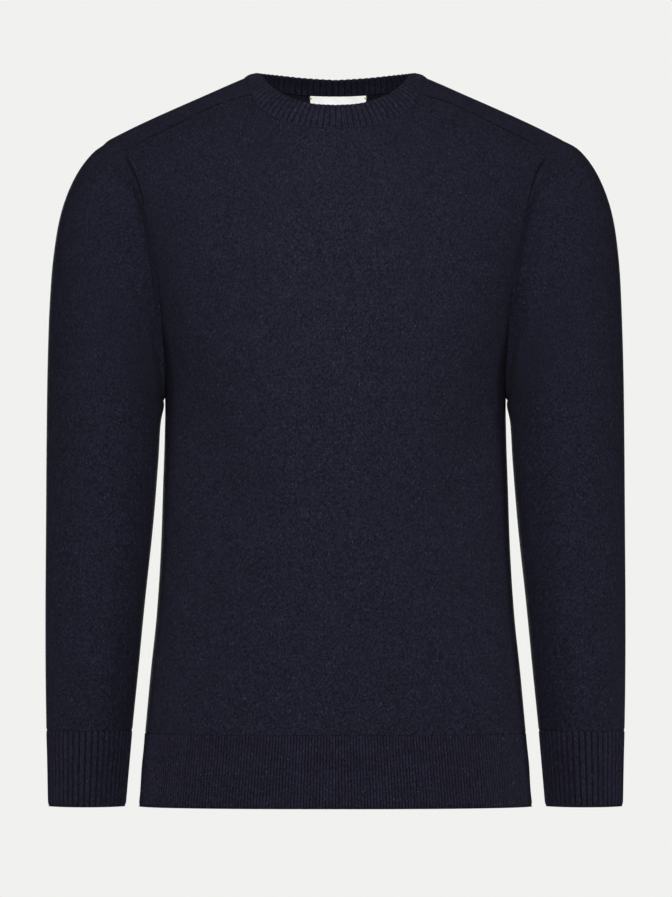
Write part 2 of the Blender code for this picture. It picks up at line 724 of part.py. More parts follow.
def neck_seam(front, back):
    """The neck's edge, all round from the middle of the front by way of the left shoulder."""
    middle = NECK_COLUMNS + SHOULDER_COLUMNS
    inner, outer = middle, middle + NECK_COLUMNS
    rows = BODY_ROWS + BACK_ARMHOLE_ROWS
    found = []
    for part in ("outer", "normal"):
        ahead_of, behind = getattr(front, part), getattr(back, part)
        corner = (ahead_of[-1, outer] + behind[-1, outer]) / 2
        strip = behind[rows + STRIP_ROWS - 1 : rows - 1 : -1, outer]
        half = np.vstack([ahead_of[-1, inner:outer], corner, strip, behind[rows, outer - 1 : inner - 1 : -1]])
        other = half[-2:0:-1] * [-1, 1, 1]
        found.append(np.vstack([half, other]))
    return found


def clear_scene():
    for left in list(bpy.data.objects):
        bpy.data.objects.remove(left, do_unlink=True)


def main():
    clear_scene()
    sweater = bpy.data.collections.new("crewneck_sweater")
    bpy.context.scene.collection.children.link(sweater)
    jersey = {"colour": (0.0137, 0.0137, 0.0242), "roughness": 0.95}
    rib = {"colour": (0.0128, 0.0128, 0.0222), "roughness": 0.95}
    woven = {"colour": (0.93, 0.93, 0.88), "roughness": 0.7}

    panels = Panels()
    front = Shell(*panels.front(), side=-1)
    back = Shell(*panels.back(), side=1)
    columns = len(panels.shares)
    on_shoulder = np.abs(panels.shares) > NECK_SHARE - 1e-6
    shift_row(front, len(front.outer) - 1, on_shoulder, SEAM_GAP / 2)
    shift_row(back, len(back.outer) - 1, on_shoulder, SEAM_GAP / 2)
    ridge_row = BODY_ROWS + BACK_ARMHOLE_ROWS

    def back_cells(row, column):
        return row < ridge_row or (on_shoulder[column] and on_shoulder[column + 1] and column != columns // 2)

    for name, shell, cells in (("front", front, everywhere), ("back", back, back_cells)):
        points = np.vstack([shell.outer.reshape(-1, 3), shell.inner.reshape(-1, 3)])
        faces = wall_faces(len(shell.outer), columns, cells)
        add_piece(name, points, faces, material(name, **jersey), sweater)

    for name, side in (("hem_front", 1), ("hem_back", -1)):
        add_piece(name, *hem_band(side), material(name, **rib), sweater, RIB_CREASE)

    sleeve = Sleeve(*armhole_seam(front, back))
    outer, inner = sleeve.walls()
    cuff_outer, cuff_inner = sleeve.cuff()
    ring = outer.shape[1]
    sleeve_faces = wall_faces(len(outer), ring, everywhere, round_and_round=True)
    cuff_faces = ribbed_faces(2, cuff_outer.shape[1], 2, cuff_inner.shape[1], closed=True)
    for suffix, mirror in (("left", 1), ("right", -1)):
        side = np.array([mirror, 1, 1])
        points = np.vstack([outer.reshape(-1, 3), inner.reshape(-1, 3)]) * side
        add_piece(f"sleeve_{suffix}", points, sleeve_faces, material(f"sleeve_{suffix}", **jersey), sweater)
        points = np.vstack([cuff_outer.reshape(-1, 3), cuff_inner.reshape(-1, 3)]) * side
        finish = material(f"cuff_{suffix}", **rib)
        add_piece(f"cuff_{suffix}", points, cuff_faces, finish, sweater, RIB_CREASE)

    outer, inner = neckband(*neck_seam(front, back))
    faces = ribbed_faces(len(outer), outer.shape[1], len(inner), inner.shape[1], closed=True)
    points = np.vstack([outer.reshape(-1, 3), inner.reshape(-1, 3)])
    add_piece("neckband", points, faces, material("neckband", **rib), sweater, RIB_CREASE)

    outer, inner = label_grid(back)
    points = np.vstack([outer.reshape(-1, 3), inner.reshape(-1, 3)])
    add_piece("label", points, wall_faces(*outer.shape[:2], everywhere), material("label", **woven), sweater)


main()
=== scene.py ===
"""Looks of a crewneck sweater in navy lambswool, filled out as if worn and empty inside.

Sizes are in millimetres unless a name says otherwise, and meshes are made in metres. The frame is the
wearer's: +Z up, -Y the front, +X the wearer's left, with the origin between the shoulders at the neck.

Each piece of cloth is a thin shell. The panels are read from one surface for the whole torso, the sleeves
and the neckband grow from the panels' own edges, and every seam sinks into a soft groove.
"""

import logging
from dataclasses import dataclass, field
from enum import Enum
from typing import Callable, Iterable, Sequence

import bpy
import numpy as np
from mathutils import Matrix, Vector, kdtree
from numpy.typing import NDArray


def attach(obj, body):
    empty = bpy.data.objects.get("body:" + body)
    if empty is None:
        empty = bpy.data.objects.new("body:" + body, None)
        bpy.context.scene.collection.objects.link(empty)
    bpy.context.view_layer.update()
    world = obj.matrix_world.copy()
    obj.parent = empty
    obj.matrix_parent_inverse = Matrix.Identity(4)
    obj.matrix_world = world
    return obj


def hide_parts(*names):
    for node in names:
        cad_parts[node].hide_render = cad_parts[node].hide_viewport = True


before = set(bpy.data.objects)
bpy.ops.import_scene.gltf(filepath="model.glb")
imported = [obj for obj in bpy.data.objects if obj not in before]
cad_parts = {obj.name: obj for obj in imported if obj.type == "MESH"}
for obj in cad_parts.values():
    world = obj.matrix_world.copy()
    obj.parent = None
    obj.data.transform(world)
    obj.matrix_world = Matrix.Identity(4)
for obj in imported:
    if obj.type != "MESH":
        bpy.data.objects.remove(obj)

Floats = NDArray[np.float64]
Point = tuple[float, float, float]
Span = tuple[float, float]
# A seam's groove: its depth, its width, and the painted shade that darkens the yarn along it
Groove = tuple[float, float, float]
Colour = tuple[float, float, float, float]
Surface = Callable[[Floats, Floats], Floats]

LOG = logging.getLogger("crewneck")
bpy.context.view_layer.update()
MM = 0.001
QUARTER = np.pi / 2
CREASE = np.radians(62)
BODY = "root"


# Shapes


class Table:
    """Rows of named columns, read anywhere along the first column on a smooth curve through the rows."""

    def __init__(self, names: str, *rows: tuple[float, ...]) -> None:
        """Keeps the rows.

        Args:
            names: The columns' names, with spaces between them.
            rows: One value for each column, in order of the first.
        """
        self.columns: dict[str, Floats] = dict(zip(names.split(), np.array(rows, float).T))
        self.places: Floats = next(iter(self.columns.values()))

    def read(self, name: str, at: Floats | float) -> Floats:
        """Reads a column.

        Args:
            name: The column.
            at: Where along the first column.

        Returns:
            The column's values there.
        """
        values = self.columns[name]
        steps = np.diff(self.places)
        slopes = np.diff(values) / steps
        inner = (slopes[:-1] * steps[1:] + slopes[1:] * steps[:-1]) / (steps[:-1] + steps[1:])
        tangents = np.concatenate([slopes[:1], inner, slopes[-1:]])
        at = np.clip(at, self.places[0], self.places[-1])
        i = np.clip(np.searchsorted(self.places, at) - 1, 0, len(steps) - 1)
        t = (at - self.places[i]) / steps[i]
        start = (1 + 2 * t) * (1 - t) ** 2 * values[i] + t * (1 - t) ** 2 * steps[i] * tangents[i]
        end = t**2 * (3 - 2 * t) * values[i + 1] + t**2 * (t - 1) * steps[i] * tangents[i + 1]
        return start + end


TORSO_SECTIONS = Table(
    "height half_width front back power",
    (-693.3, 188.0, 88.0, 83.0, 2.36),
    (-655.0, 184.8, 91.0, 86.0, 2.32),
    (-609.0, 180.5, 95.0, 89.0, 2.27),
    (-563.0, 176.2, 98.0, 91.0, 2.20),
    (-518.0, 171.4, 101.0, 92.0, 2.14),
    (-449.0, 166.8, 106.0, 94.0, 2.08),
    (-390.0, 164.8, 110.0, 98.0, 2.05),
    (-340.0, 163.2, 114.0, 104.0, 2.05),
    (-304.0, 162.9, 116.5, 108.5, 2.12),
    (-290.0, 163.7, 117.0, 110.0, 2.16),
    (-265.0, 166.4, 118.0, 112.0, 2.26),
    (-235.0, 171.0, 119.0, 114.0, 2.37),
    (-205.0, 177.2, 119.0, 115.0, 2.44),
    (-175.0, 188.0, 119.0, 115.0, 2.46),
    (-150.0, 200.0, 118.5, 115.0, 2.43),
    (-130.0, 213.0, 118.0, 114.5, 2.38),
    (-110.0, 228.0, 118.0, 114.0, 2.32),
    (-90.0, 238.0, 118.0, 113.5, 2.27),
    (-70.0, 238.0, 118.0, 113.0, 2.25),
    (-50.0, 236.0, 118.0, 113.0, 2.25),
    (20.0, 236.0, 118.0, 113.0, 2.25),
)
SHOULDER_TOP = Table(
    "out height",
    (0.0, 18.0),
    (6.0, 17.95),
    (45.0, 14.2),
    (75.0, 6.4),
    (95.5, -1.9),
    (121.8, -13.4),
    (148.0, -24.8),
    (173.8, -36.3),
    (197.7, -47.8),
    (218.7, -59.4),
    (236.0, -72.0),
)
FRONT_NECKLINE = Table(
    "out height",
    (0.0, -47.6),
    (23.0, -46.6),
    (48.0, -41.3),
    (68.0, -30.6),
    (83.0, -17.0),
)
FORWARD_SEAM = Table(
    "out height",
    (83.0, -15.4),
    (104.0, -21.4),
    (126.5, -30.8),
    (151.0, -43.2),
    (174.5, -54.4),
    (203.0, -70.0),
)
ARMHOLE = Table(
    "height front_out back_out",
    (-304.0, 162.9, 162.9),
    (-290.0, 163.1, 163.1),
    (-265.0, 163.8, 164.2),
    (-235.0, 165.2, 166.6),
    (-205.0, 167.4, 170.4),
    (-175.0, 171.5, 176.0),
    (-150.0, 176.6, 182.2),
    (-130.0, 180.6, 188.0),
    (-110.0, 185.0, 194.5),
    (-90.0, 191.5, 202.5),
    (-80.0, 197.0, 206.8),
    (-70.0, 203.0, 211.2),
    (-60.4, 215.0, 215.0),
)
SLEEVE_RINGS = Table(
    "station outer_out outer_height inner_out inner_height front back power",
    (0, 215.3, -60.3, 163.3, -303.9, -48.0, 50.0, 2.3),
    (1, 233.5, -69.5, 163.5, -304.6, -53.0, 54.5, 2.4),
    (2, 250.9, -92.4, 163.8, -305.4, -56.5, 58.5, 2.5),
    (3, 263.9, -127.0, 164.1, -306.6, -58.5, 62.0, 2.45),
    (4, 270.6, -172.0, 163.6, -308.8, -59.0, 64.5, 2.35),
    (5, 273.5, -225.0, 163.9, -313.5, -58.0, 66.5, 2.2),
    (6, 275.2, -285.0, 167.0, -330.0, -55.0, 67.5, 2.1),
    (7, 276.0, -350.0, 169.2, -366.0, -50.5, 68.0, 2.0),
    (8, 276.5, -425.0, 174.2, -427.0, -46.0, 64.0, 2.0),
    (9, 277.0, -500.0, 182.0, -500.0, -45.0, 54.0, 2.0),
    (10, 276.9, -565.0, 188.3, -565.0, -44.0, 43.0, 2.0),
    (11, 276.1, -620.8, 193.9, -620.8, -42.0, 32.0, 2.0),
    (12, 274.5, -693.3, 200.2, -693.3, -39.0, 17.0, 2.0),
)
NECK_CREST = Table(
    "share out forward height",
    (0.00, 0.0, -77.5, -27.5),
    (0.09, 19.0, -76.5, -26.4),
    (0.19, 38.5, -70.3, -21.8),
    (0.28, 53.5, -59.0, -14.6),
    (0.37, 64.5, -41.5, -5.6),
    (0.43, 69.5, -27.5, 1.3),
    (0.49, 73.5, -13.5, 5.2),
    (0.56, 76.5, 2.0, 6.5),
    (0.65, 75.5, 18.0, 6.8),
    (0.78, 56.5, 36.0, 5.5),
    (0.89, 29.5, 46.5, 3.0),
    (1.00, 0.0, 50.0, 1.3),
)

# Soft troughs on the torso, in front where side is -1 and behind where it is 1
TORSO_FOLDS = Table(
    "fold side from_out from_height to_out to_height width depth",
    (0, -1, 158.0, -245.0, 96.0, -470.0, 30.0, 7.4),
    (1, -1, -158.0, -240.0, -84.0, -460.0, 31.0, 8.0),
    (2, -1, 140.0, -385.0, 122.0, -580.0, 24.0, 3.4),
    (3, -1, -138.0, -365.0, -116.0, -570.0, 26.0, 3.2),
    (4, 1, 146.0, -275.0, 62.0, -395.0, 24.0, 3.4),
    (5, 1, -150.0, -285.0, -74.0, -420.0, 26.0, 3.0),
    (6, 1, 92.0, -385.0, -38.0, -430.0, 17.0, 2.6),
    (7, 1, -104.0, -440.0, 28.0, -478.0, 19.0, 2.2),
)

# Where each sleeve sinks beside its armhole seam, by the share of the way from shoulder to underarm
ARMHOLE_BREAK = Table(
    "share away depth",
    (0.00, 24.0, 0.0),
    (0.08, 24.0, 0.0),
    (0.14, 23.0, 0.5),
    (0.20, 18.0, 3.2),
    (0.26, 11.0, 6.3),
    (0.34, 6.5, 8.0),
    (0.60, 5.5, 8.0),
    (0.80, 5.0, 5.0),
    (0.93, 5.0, 1.5),
    (1.00, 5.0, 0.0),
)


def across(turn: Floats, power: Floats | float) -> Floats:
    """How far out a level section lies at an angle from straight ahead, as a share of its half width."""
    wave = np.sin(turn)
    return np.sign(wave) * np.abs(wave) ** (2 / power)


def ahead(turn: Floats, power: Floats | float) -> Floats:
    """How far ahead a level section lies at that angle, as a share of its depth."""
    wave = np.cos(turn)
    return np.sign(wave) * np.abs(wave) ** (2 / power)


def unit(vectors: Floats) -> Floats:
    """Vectors scaled to a length of one."""
    return vectors / np.linalg.norm(vectors, axis=-1, keepdims=True)


def normals(surface: Surface, first: Floats, second: Floats, step: float = 1e-4) -> Floats:
    """Unit normals of a surface with two parameters.

    Args:
        surface: Gives a point for each pair of parameters.
        first: The first parameter.
        second: The second.
        step: A change small enough for differences to stand for slopes.

    Returns:
        A normal for each pair.
    """
    one = surface(first + step, second) - surface(first - step, second)
    other = surface(first, second + step) - surface(first, second - step)
    return unit(np.cross(other, one))


def ring_normals(points: Floats) -> Floats:
    """Unit normals of a grid of points whose rows run round to their start.

    Args:
        points: The grid.

    Returns:
        A normal for each point, outwards where the columns run anticlockwise.
    """
    around = np.roll(points, -1, axis=1) - np.roll(points, 1, axis=1)
    return unit(np.cross(around, np.gradient(points, axis=0)))


def eased(values: Floats, low: float, high: float) -> Floats:
    """Numbers that rise smoothly from 0 where a value is low to 1 where it is high."""
    t = np.clip((values - low) / (high - low), 0, 1)
    return t * t * (3 - 2 * t)


def lengths_along(points: Floats, axis: int = 0) -> Floats:
    """Distance of each point from the first along its line.

    Args:
        points: Points in an array whose last axis holds their coordinates.
        axis: The axis that the lines run along.

    Returns:
        The distances, in the shape of the points without their last axis.
    """
    steps = np.linalg.norm(np.diff(points, axis=axis), axis=-1)
    first = np.zeros_like(np.take(steps, [0], axis=axis))
    return np.concatenate([first, np.cumsum(steps, axis=axis)], axis=axis)


def spaced(length: float, step: float, rim: Sequence[float]) -> Floats:
    """Shares of a length at even steps, with closer ones near both ends.

    Args:
        length: The whole length.
        step: The even step.
        rim: Distances from each end at which to add a place.

    Returns:
        Shares from 0 to 1.
    """
    near = np.array([0.0, *rim])
    middle = np.linspace(near[-1], length - near[-1], max(2, round((length - 2 * near[-1]) / step)))
    return np.concatenate([near[:-1], middle, (length - near[:-1])[::-1]]) / length


@dataclass(frozen=True)
class Torso:
    """The one surface that the panels, the hem and the label are read from.

    Its parameters are the angle out from the middle, and how far the cloth has come over the shoulder
    from its top line: positive down the front, negative down the back.
    """

    half_shoulder: float = 236.0
    shoulder_power: float = 2.25
    front_fall: float = 221.0
    back_fall: float = 190.0
    fold_fade: float = 50.0

    def top(self, turn: Floats) -> Floats:
        """Height of the shoulders' top line at an angle."""
        return SHOULDER_TOP.read("height", self.half_shoulder * np.abs(across(turn, self.shoulder_power)))

    def fall(self, over: Floats | float) -> Floats:
        """How far the front or back drops while it rounds the shoulder."""
        return np.where(np.asarray(over) >= 0, self.front_fall, self.back_fall)

    def bare(self, turn: Floats, over: Floats) -> Floats:
        """The torso before its folds.

        Args:
            turn: Angles out from the middle.
            over: How far over the shoulder.

        Returns:
            A point for each pair.
        """
        reach = np.abs(over)
        rounded = np.minimum(reach, QUARTER)
        height = self.top(turn) - self.fall(over) * (1 - np.cos(rounded) + reach - rounded)
        power = TORSO_SECTIONS.read("power", height)
        front, back = TORSO_SECTIONS.read("front", height), TORSO_SECTIONS.read("back", height)
        depth = np.where(over >= 0, -front, back)
        out = TORSO_SECTIONS.read("half_width", height) * across(turn, power)
        return np.stack([out, depth * np.sin(rounded) * ahead(turn, power), height], -1)

    def folds(self, points: Floats) -> Floats:
        """How deep the soft troughs are.

        Args:
            points: Points of the bare torso.

        Returns:
            A depth for each point.
        """
        total = np.zeros(points.shape[:-1])
        for fold in range(len(TORSO_FOLDS.places)):
            row = {name: column[fold] for name, column in TORSO_FOLDS.columns.items()}
            start = np.array([row["from_out"], row["from_height"]])
            run = np.array([row["to_out"], row["to_height"]]) - start
            offset = points[..., [0, 2]] - start
            share = np.clip(offset @ run / (run @ run), 0, 1)
            away = np.linalg.norm(offset - share[..., None] * run, axis=-1)
            facing = np.clip(points[..., 1] * row["side"] / self.fold_fade, 0, 1)
            total += row["depth"] * facing * np.sin(np.pi * share) * np.exp(-((away / row["width"]) ** 2))
        return total

    def point(self, turn: Floats, over: Floats) -> Floats:
        """The torso with its folds, at each pair of parameters."""
        bare = self.bare(turn, over)
        return bare - self.folds(bare)[..., None] * normals(self.bare, turn, over)

    def over_at(self, turn: Floats, height: Floats | float, side: int) -> Floats:
        """How far over the shoulder a level lies.

        Args:
            turn: Angles out from the middle.
            height: The level.
            side: 1 for the front and -1 for the back.

        Returns:
            The parameter that gives the level.
        """
        drop = (self.top(turn) - height) / self.fall(side)
        return side * np.where(drop < 1, np.arccos(np.clip(1 - drop, -1, 1)), QUARTER + drop - 1)

    def turn_at(self, out: Floats | float, height: Floats | float) -> Floats:
        """The angle at which a level section is so far out."""
        share = np.clip(out / TORSO_SECTIONS.read("half_width", height), 0, 1)
        return np.arcsin(share ** (TORSO_SECTIONS.read("power", height) / 2))


TORSO = Torso()


@dataclass
class Seam:
    """A line of sewing or linking, where the cloth sinks by depth and shade is painted onto its yarn.

    Both fade over about width on each side, and strength says how marked each point of the line is.
    """

    points: Floats
    facing: Floats
    depth: float
    width: float
    shade: float
    strength: Floats
    fineness: float = 0.3
    tree: kdtree.KDTree = field(init=False)

    def __post_init__(self) -> None:
        """Fills the seam in with close points and sorts them for the search."""
        along = lengths_along(self.points)
        fine = np.arange(0, along[-1] + self.fineness, self.fineness)
        self.points = np.stack([np.interp(fine, along, c) for c in self.points.T], -1)
        self.facing = unit(np.stack([np.interp(fine, along, c) for c in self.facing.T], -1))
        self.strength = np.interp(fine, along, self.strength)
        self.tree = kdtree.KDTree(len(fine))
        for i, point in enumerate(self.points):
            self.tree.insert(point, i)
        self.tree.balance()

    def effects(self, points: Floats) -> tuple[Floats, Floats]:
        """What the seam does to each point of the cloth.

        Args:
            points: Points in rows of three coordinates.

        Returns:
            How far it moves each, and how much painted shade each gets.
        """
        reach = 3.0 * self.width
        low, high = self.points.min(axis=0) - reach, self.points.max(axis=0) + reach
        near = np.flatnonzero(((points > low) & (points < high)).all(axis=1))
        moved, shaded = np.zeros_like(points), np.zeros(len(points))
        for i in near:
            _, place, away = self.tree.find(points[i])
            if away < reach:
                share = self.strength[place] * np.exp(-((away / self.width) ** 2))
                moved[i] = -self.depth * share * self.facing[place]
                shaded[i] = self.shade * share
        return moved, shaded


def mirrored(points: Floats) -> Floats:
    """Points or directions of the other side."""
    return points * np.array([-1.0, 1.0, 1.0])


def sewn(points: Floats, seams: Iterable[Seam]) -> tuple[Floats, Floats]:
    """Cloth with the grooves of its seams.

    Args:
        points: A grid of points.
        seams: The seams that may touch it.

    Returns:
        The grid with its points moved, and a layer of the painted shade on them.
    """
    flat = points.reshape(-1, 3)
    moved, shaded = flat.copy(), np.zeros(len(flat))
    for seam in seams:
        offsets, shades = seam.effects(flat)
        moved += offsets
        shaded += shades
    layer = np.stack([shaded, 0 * shaded], -1)
    return moved.reshape(points.shape), layer.reshape(*points.shape[:-1], 2)


@dataclass
class Coat:
    """Values that a finish reads over a piece: named layers of two numbers for each point."""

    layers: dict[str, Floats]
    around: Floats | None = None


def placed(name: str, mesh: bpy.types.Mesh) -> bpy.types.Object:
    """Smooths a mesh and sets it in the scene as a piece.

    Args:
        name: The piece's name.
        mesh: Its mesh.

    Returns:
        The piece.
    """
    mesh.validate()
    mesh.shade_smooth()
    piece = bpy.data.objects.new(name, mesh)
    bpy.context.scene.collection.objects.link(piece)
    return piece


def run_on(values: Floats, around: Floats | float) -> Floats:
    """Carries a layer on past its start in the faces that close a ring.

    Args:
        values: A pair for each corner of each face.
        around: How much the pair's first number grows once round.

    Returns:
        The pairs.
    """
    around = np.broadcast_to(around, values.shape[:2])
    closing = np.ptp(values[..., 0], axis=1) > around.mean(axis=1) / 2
    behind = closing[:, None] & (values[..., 0] < 0)
    return values + np.stack([np.where(behind, around, 0), 0 * around], -1)


def shell(
    name: str,
    outer: Floats,
    inner: Floats,
    coat: Coat,
    cells: Floats | None = None,
    closed: bool = False,
) -> bpy.types.Object:
    """A thin closed shell between two grids of points.

    Args:
        name: The piece's name.
        outer: The outside points, in rows and columns.
        inner: The inside points.
        coat: Layers for the finish, one value pair for each point of the grid.
        cells: Which cells the cloth covers; all of them where it is left out.
        closed: Whether each row runs round to its start.

    Returns:
        The piece, in metres.
    """
    rows, columns = outer.shape[:2]
    count = rows * columns
    index = np.arange(count).reshape(rows, columns)
    span = np.concatenate([index, index[:, :1]], axis=1) if closed else index
    quads = np.stack([span[:-1, :-1], span[:-1, 1:], span[1:, 1:], span[1:, :-1]], -1)
    quads = quads.reshape(-1, 4) if cells is None else quads[cells.astype(bool)]
    edges = np.concatenate([quads[:, [i, (i + 1) % 4]] for i in range(4)])
    _, first, uses = np.unique(np.sort(edges, axis=1), axis=0, return_index=True, return_counts=True)
    rim = edges[first[uses == 1]]
    sides = np.concatenate([rim[:, ::-1], rim + count], axis=1)
    faces = np.concatenate([quads, quads[:, ::-1] + count, sides])
    used, places = np.unique(faces, return_inverse=True)
    points = np.vstack([outer.reshape(-1, 3), inner.reshape(-1, 3)])[used] * MM
    mesh = bpy.data.meshes.new(name)
    mesh.from_pydata(points.tolist(), [], places.reshape(faces.shape).tolist())
    corners = faces % count
    for layer, values in coat.layers.items():
        flat = values.reshape(-1, 2)[corners]
        if coat.around is not None:
            flat = run_on(flat, coat.around.reshape(-1)[corners])
        mesh.uv_layers.new(name=layer).data.foreach_set("uv", flat.reshape(-1))
    piece = placed(name, mesh)
    mesh.set_sharp_from_angle(angle=CREASE)
    return piece


# Panels


@dataclass
class PanelGrid:
    """Fine points of the front and the back, with the edges that other pieces start from."""

    hem_top: float = -623.7
    underarm: float = -304.0
    shoulder_point: float = 215.0
    seam_end: float = 203.0
    neck_share: float = 0.3
    back_neck_lean: float = float(np.radians(32.4))
    edge_hold: float = 1.5
    step: float = 4.2
    rim: tuple[float, ...] = (0.5, 1.0, 1.6, 2.4, 3.6, 5.4)
    neck_rim: tuple[float, ...] = (1.0, 2.4)
    neck_run: float = 96.0
    side_run: float = 160.0
    strip_run: float = 30.0
    strip_rows: int = 9
    samples: int = 800
    rounds: int = 6
    hair: float = 1e-6

    def __post_init__(self) -> None:
        """Works out the columns and the top edge."""
        neck = self.neck_share * spaced(self.neck_run, self.step, self.neck_rim)
        sides = self.neck_share + (1 - self.neck_share) * spaced(self.side_run, self.step, self.rim)
        half = np.concatenate([neck, sides[1:]])
        self.shares = np.concatenate([-half[:0:-1], half])
        self.middle = len(self.shares) // 2
        self.corner = self.middle + len(neck) - 1
        self.seam_end_height = float(FORWARD_SEAM.columns["height"][-1])
        self.seam_end_turn = float(TORSO.turn_at(self.seam_end, self.seam_end_height))
        share = self.shoulder_point / TORSO.half_shoulder
        self.ridge_end_turn = float(np.arcsin(share ** (TORSO.shoulder_power / 2)))
        self.seam_over = TORSO.over_at(self.shares * self.seam_end_turn, self.top_edge(), 1)
        self.body = spaced(self.underarm - self.hem_top, self.step, self.rim[:4])
        self.body_rows = len(self.body)

    def top_edge(self) -> Floats:
        """The level of the front's top edge at each column: the neckline, then the forward seam."""
        height = np.full(self.shares.shape, self.seam_end_height)
        beside_neck = np.abs(self.shares) >= self.neck_share - self.hair
        for _ in range(self.rounds):
            wide = TORSO_SECTIONS.read("half_width", height)
            out = wide * np.abs(across(self.shares * self.seam_end_turn, TORSO.shoulder_power))
            neckline = FRONT_NECKLINE.read("height", out)
            height = np.where(beside_neck, FORWARD_SEAM.read("height", out), neckline)
        return height

    def lower(self, side: int) -> tuple[Floats, Floats]:
        """Turns and overs from the hem band up to the underarms, at the front (1) or the back (-1)."""
        turns = np.repeat(self.shares[None] * QUARTER, self.body_rows, axis=0)
        heights = self.hem_top + (self.underarm - self.hem_top) * self.body[:, None]
        return turns, TORSO.over_at(turns, heights + 0 * turns, side)

    def rises(self, column: str, side: int, top: float, middle_top: float) -> tuple[Floats, Floats]:
        """How far each row above the underarm has risen.

        Args:
            column: The armhole's column in its table.
            side: 1 for the front and -1 for the back.
            top: The level at which the armhole edge ends.
            middle_top: How far over the shoulder the middle of the panel ends.

        Returns:
            Shares for the middle of the panel, and shares for its armhole edge.
        """
        fine = np.linspace(self.underarm, top, self.samples)
        turns = TORSO.turn_at(ARMHOLE.read(column, fine), fine)
        edge = TORSO.bare(turns, TORSO.over_at(turns, fine, side))
        along = lengths_along(edge)
        where = spaced(float(along[-1]), self.step, self.rim)[1:]
        shares = np.linspace(0, 1, len(fine))
        at_edge = np.interp(where * along[-1], along, shares)
        start = float(TORSO.over_at(np.zeros(1), self.underarm, side)[0])
        fine = np.linspace(start, middle_top, self.samples)
        along = lengths_along(TORSO.bare(0 * fine, fine))
        return np.interp(where * along[-1], along, shares), at_edge

    def blended(self, at_middle: Floats, at_edge: Floats) -> Floats:
        """A value for each row and column that eases from the middle of a panel to its edge."""
        near = np.abs(self.shares) ** self.edge_hold
        return at_middle[:, None] * (1 - near) + at_edge[:, None] * near

    def front(self) -> tuple[Floats, Floats]:
        """Turns and overs of the whole front."""
        below = self.lower(1)
        rises = self.rises("front_out", 1, self.seam_end_height, self.seam_over[self.middle])
        levels = self.underarm + (self.seam_end_height - self.underarm) * rises[1]
        edge_turns = TORSO.turn_at(ARMHOLE.read("front_out", levels), levels)
        edge_overs = TORSO.over_at(edge_turns, levels, 1)
        start = below[1][-1]
        gone = (edge_overs - start[-1]) / (self.seam_over[-1] - start[-1])
        risen = self.blended(rises[0], gone)
        turns = self.shares * edge_turns[:, None]
        overs = start + (self.seam_over - start) * risen
        return np.vstack([below[0], turns]), np.vstack([below[1], overs])

    def back(self) -> tuple[Floats, Floats]:
        """Turns and overs of the back, up to the ridge and on over it to the forward seam."""
        below = self.lower(-1)
        ridge_end = float(ARMHOLE.columns["height"][-1])
        rises = self.rises("back_out", -1, ridge_end, -self.back_neck_lean)
        levels = self.underarm + (ridge_end - self.underarm) * rises[1]
        edge_turns = TORSO.turn_at(ARMHOLE.read("back_out", levels), levels)
        edge_turns[-1] = self.ridge_end_turn
        edge_overs = TORSO.over_at(edge_turns, levels, -1)
        edge_overs[-1] = 0
        start = below[1][-1]
        risen = self.blended(rises[0], 1 - edge_overs / start[-1])
        neck = self.back_neck_over(self.shares)
        turns = self.shares * edge_turns[:, None]
        overs = start + (neck - start) * risen
        self.ridge_row = len(below[0]) + len(turns) - 1
        reached = spaced(self.strip_run, self.strip_run / self.strip_rows, self.rim[:4])[1:, None]
        widening = self.seam_end_turn - self.ridge_end_turn
        strip_turns = self.shares * (self.ridge_end_turn + widening * reached)
        strip_overs = self.seam_over * reached
        return np.vstack([below[0], turns, strip_turns]), np.vstack([below[1], overs, strip_overs])

    def back_neck_over(self, shares: Floats) -> Floats:
        """How far over the shoulder the back neckline lies at each column."""
        return np.sqrt(np.clip(1 - (shares / self.neck_share) ** 2, 0, 1)) * -self.back_neck_lean

    def back_cells(self, rows: int) -> Floats:
        """Which cells the back covers: above the ridge, only those beside the neck."""
        beside = np.abs(self.shares[:-1] + self.shares[1:]) / 2 > self.neck_share
        covered = np.ones((rows - 1, len(self.shares) - 1), bool)
        covered[self.ridge_row :] = beside
        return covered


def knit_layer(points: Floats, middle: int) -> Floats:
    """Millimetres across the wales and up the courses, for a panel.

    Args:
        points: The panel's outside points.
        middle: Its middle column, from which wales are counted.

    Returns:
        A pair for each point.
    """
    out = lengths_along(points, axis=1)
    return np.stack([out - out[:, [middle]], lengths_along(points, axis=0)], -1)


def beside_top(points: Floats, least: float = 0.15, near: float = 4.0, far: float = 16.0) -> Floats:
    """How marked the neck seam is along its points.

    Args:
        points: The seam's points.
        least: What is left of the seam at the shoulders' top line.
        near: How far from that line it starts to grow.
        far: How far from the line it is fully marked.

    Returns:
        A share for each point.
    """
    return least + (1 - least) * eased(np.abs(points[:, 1]), near, far)


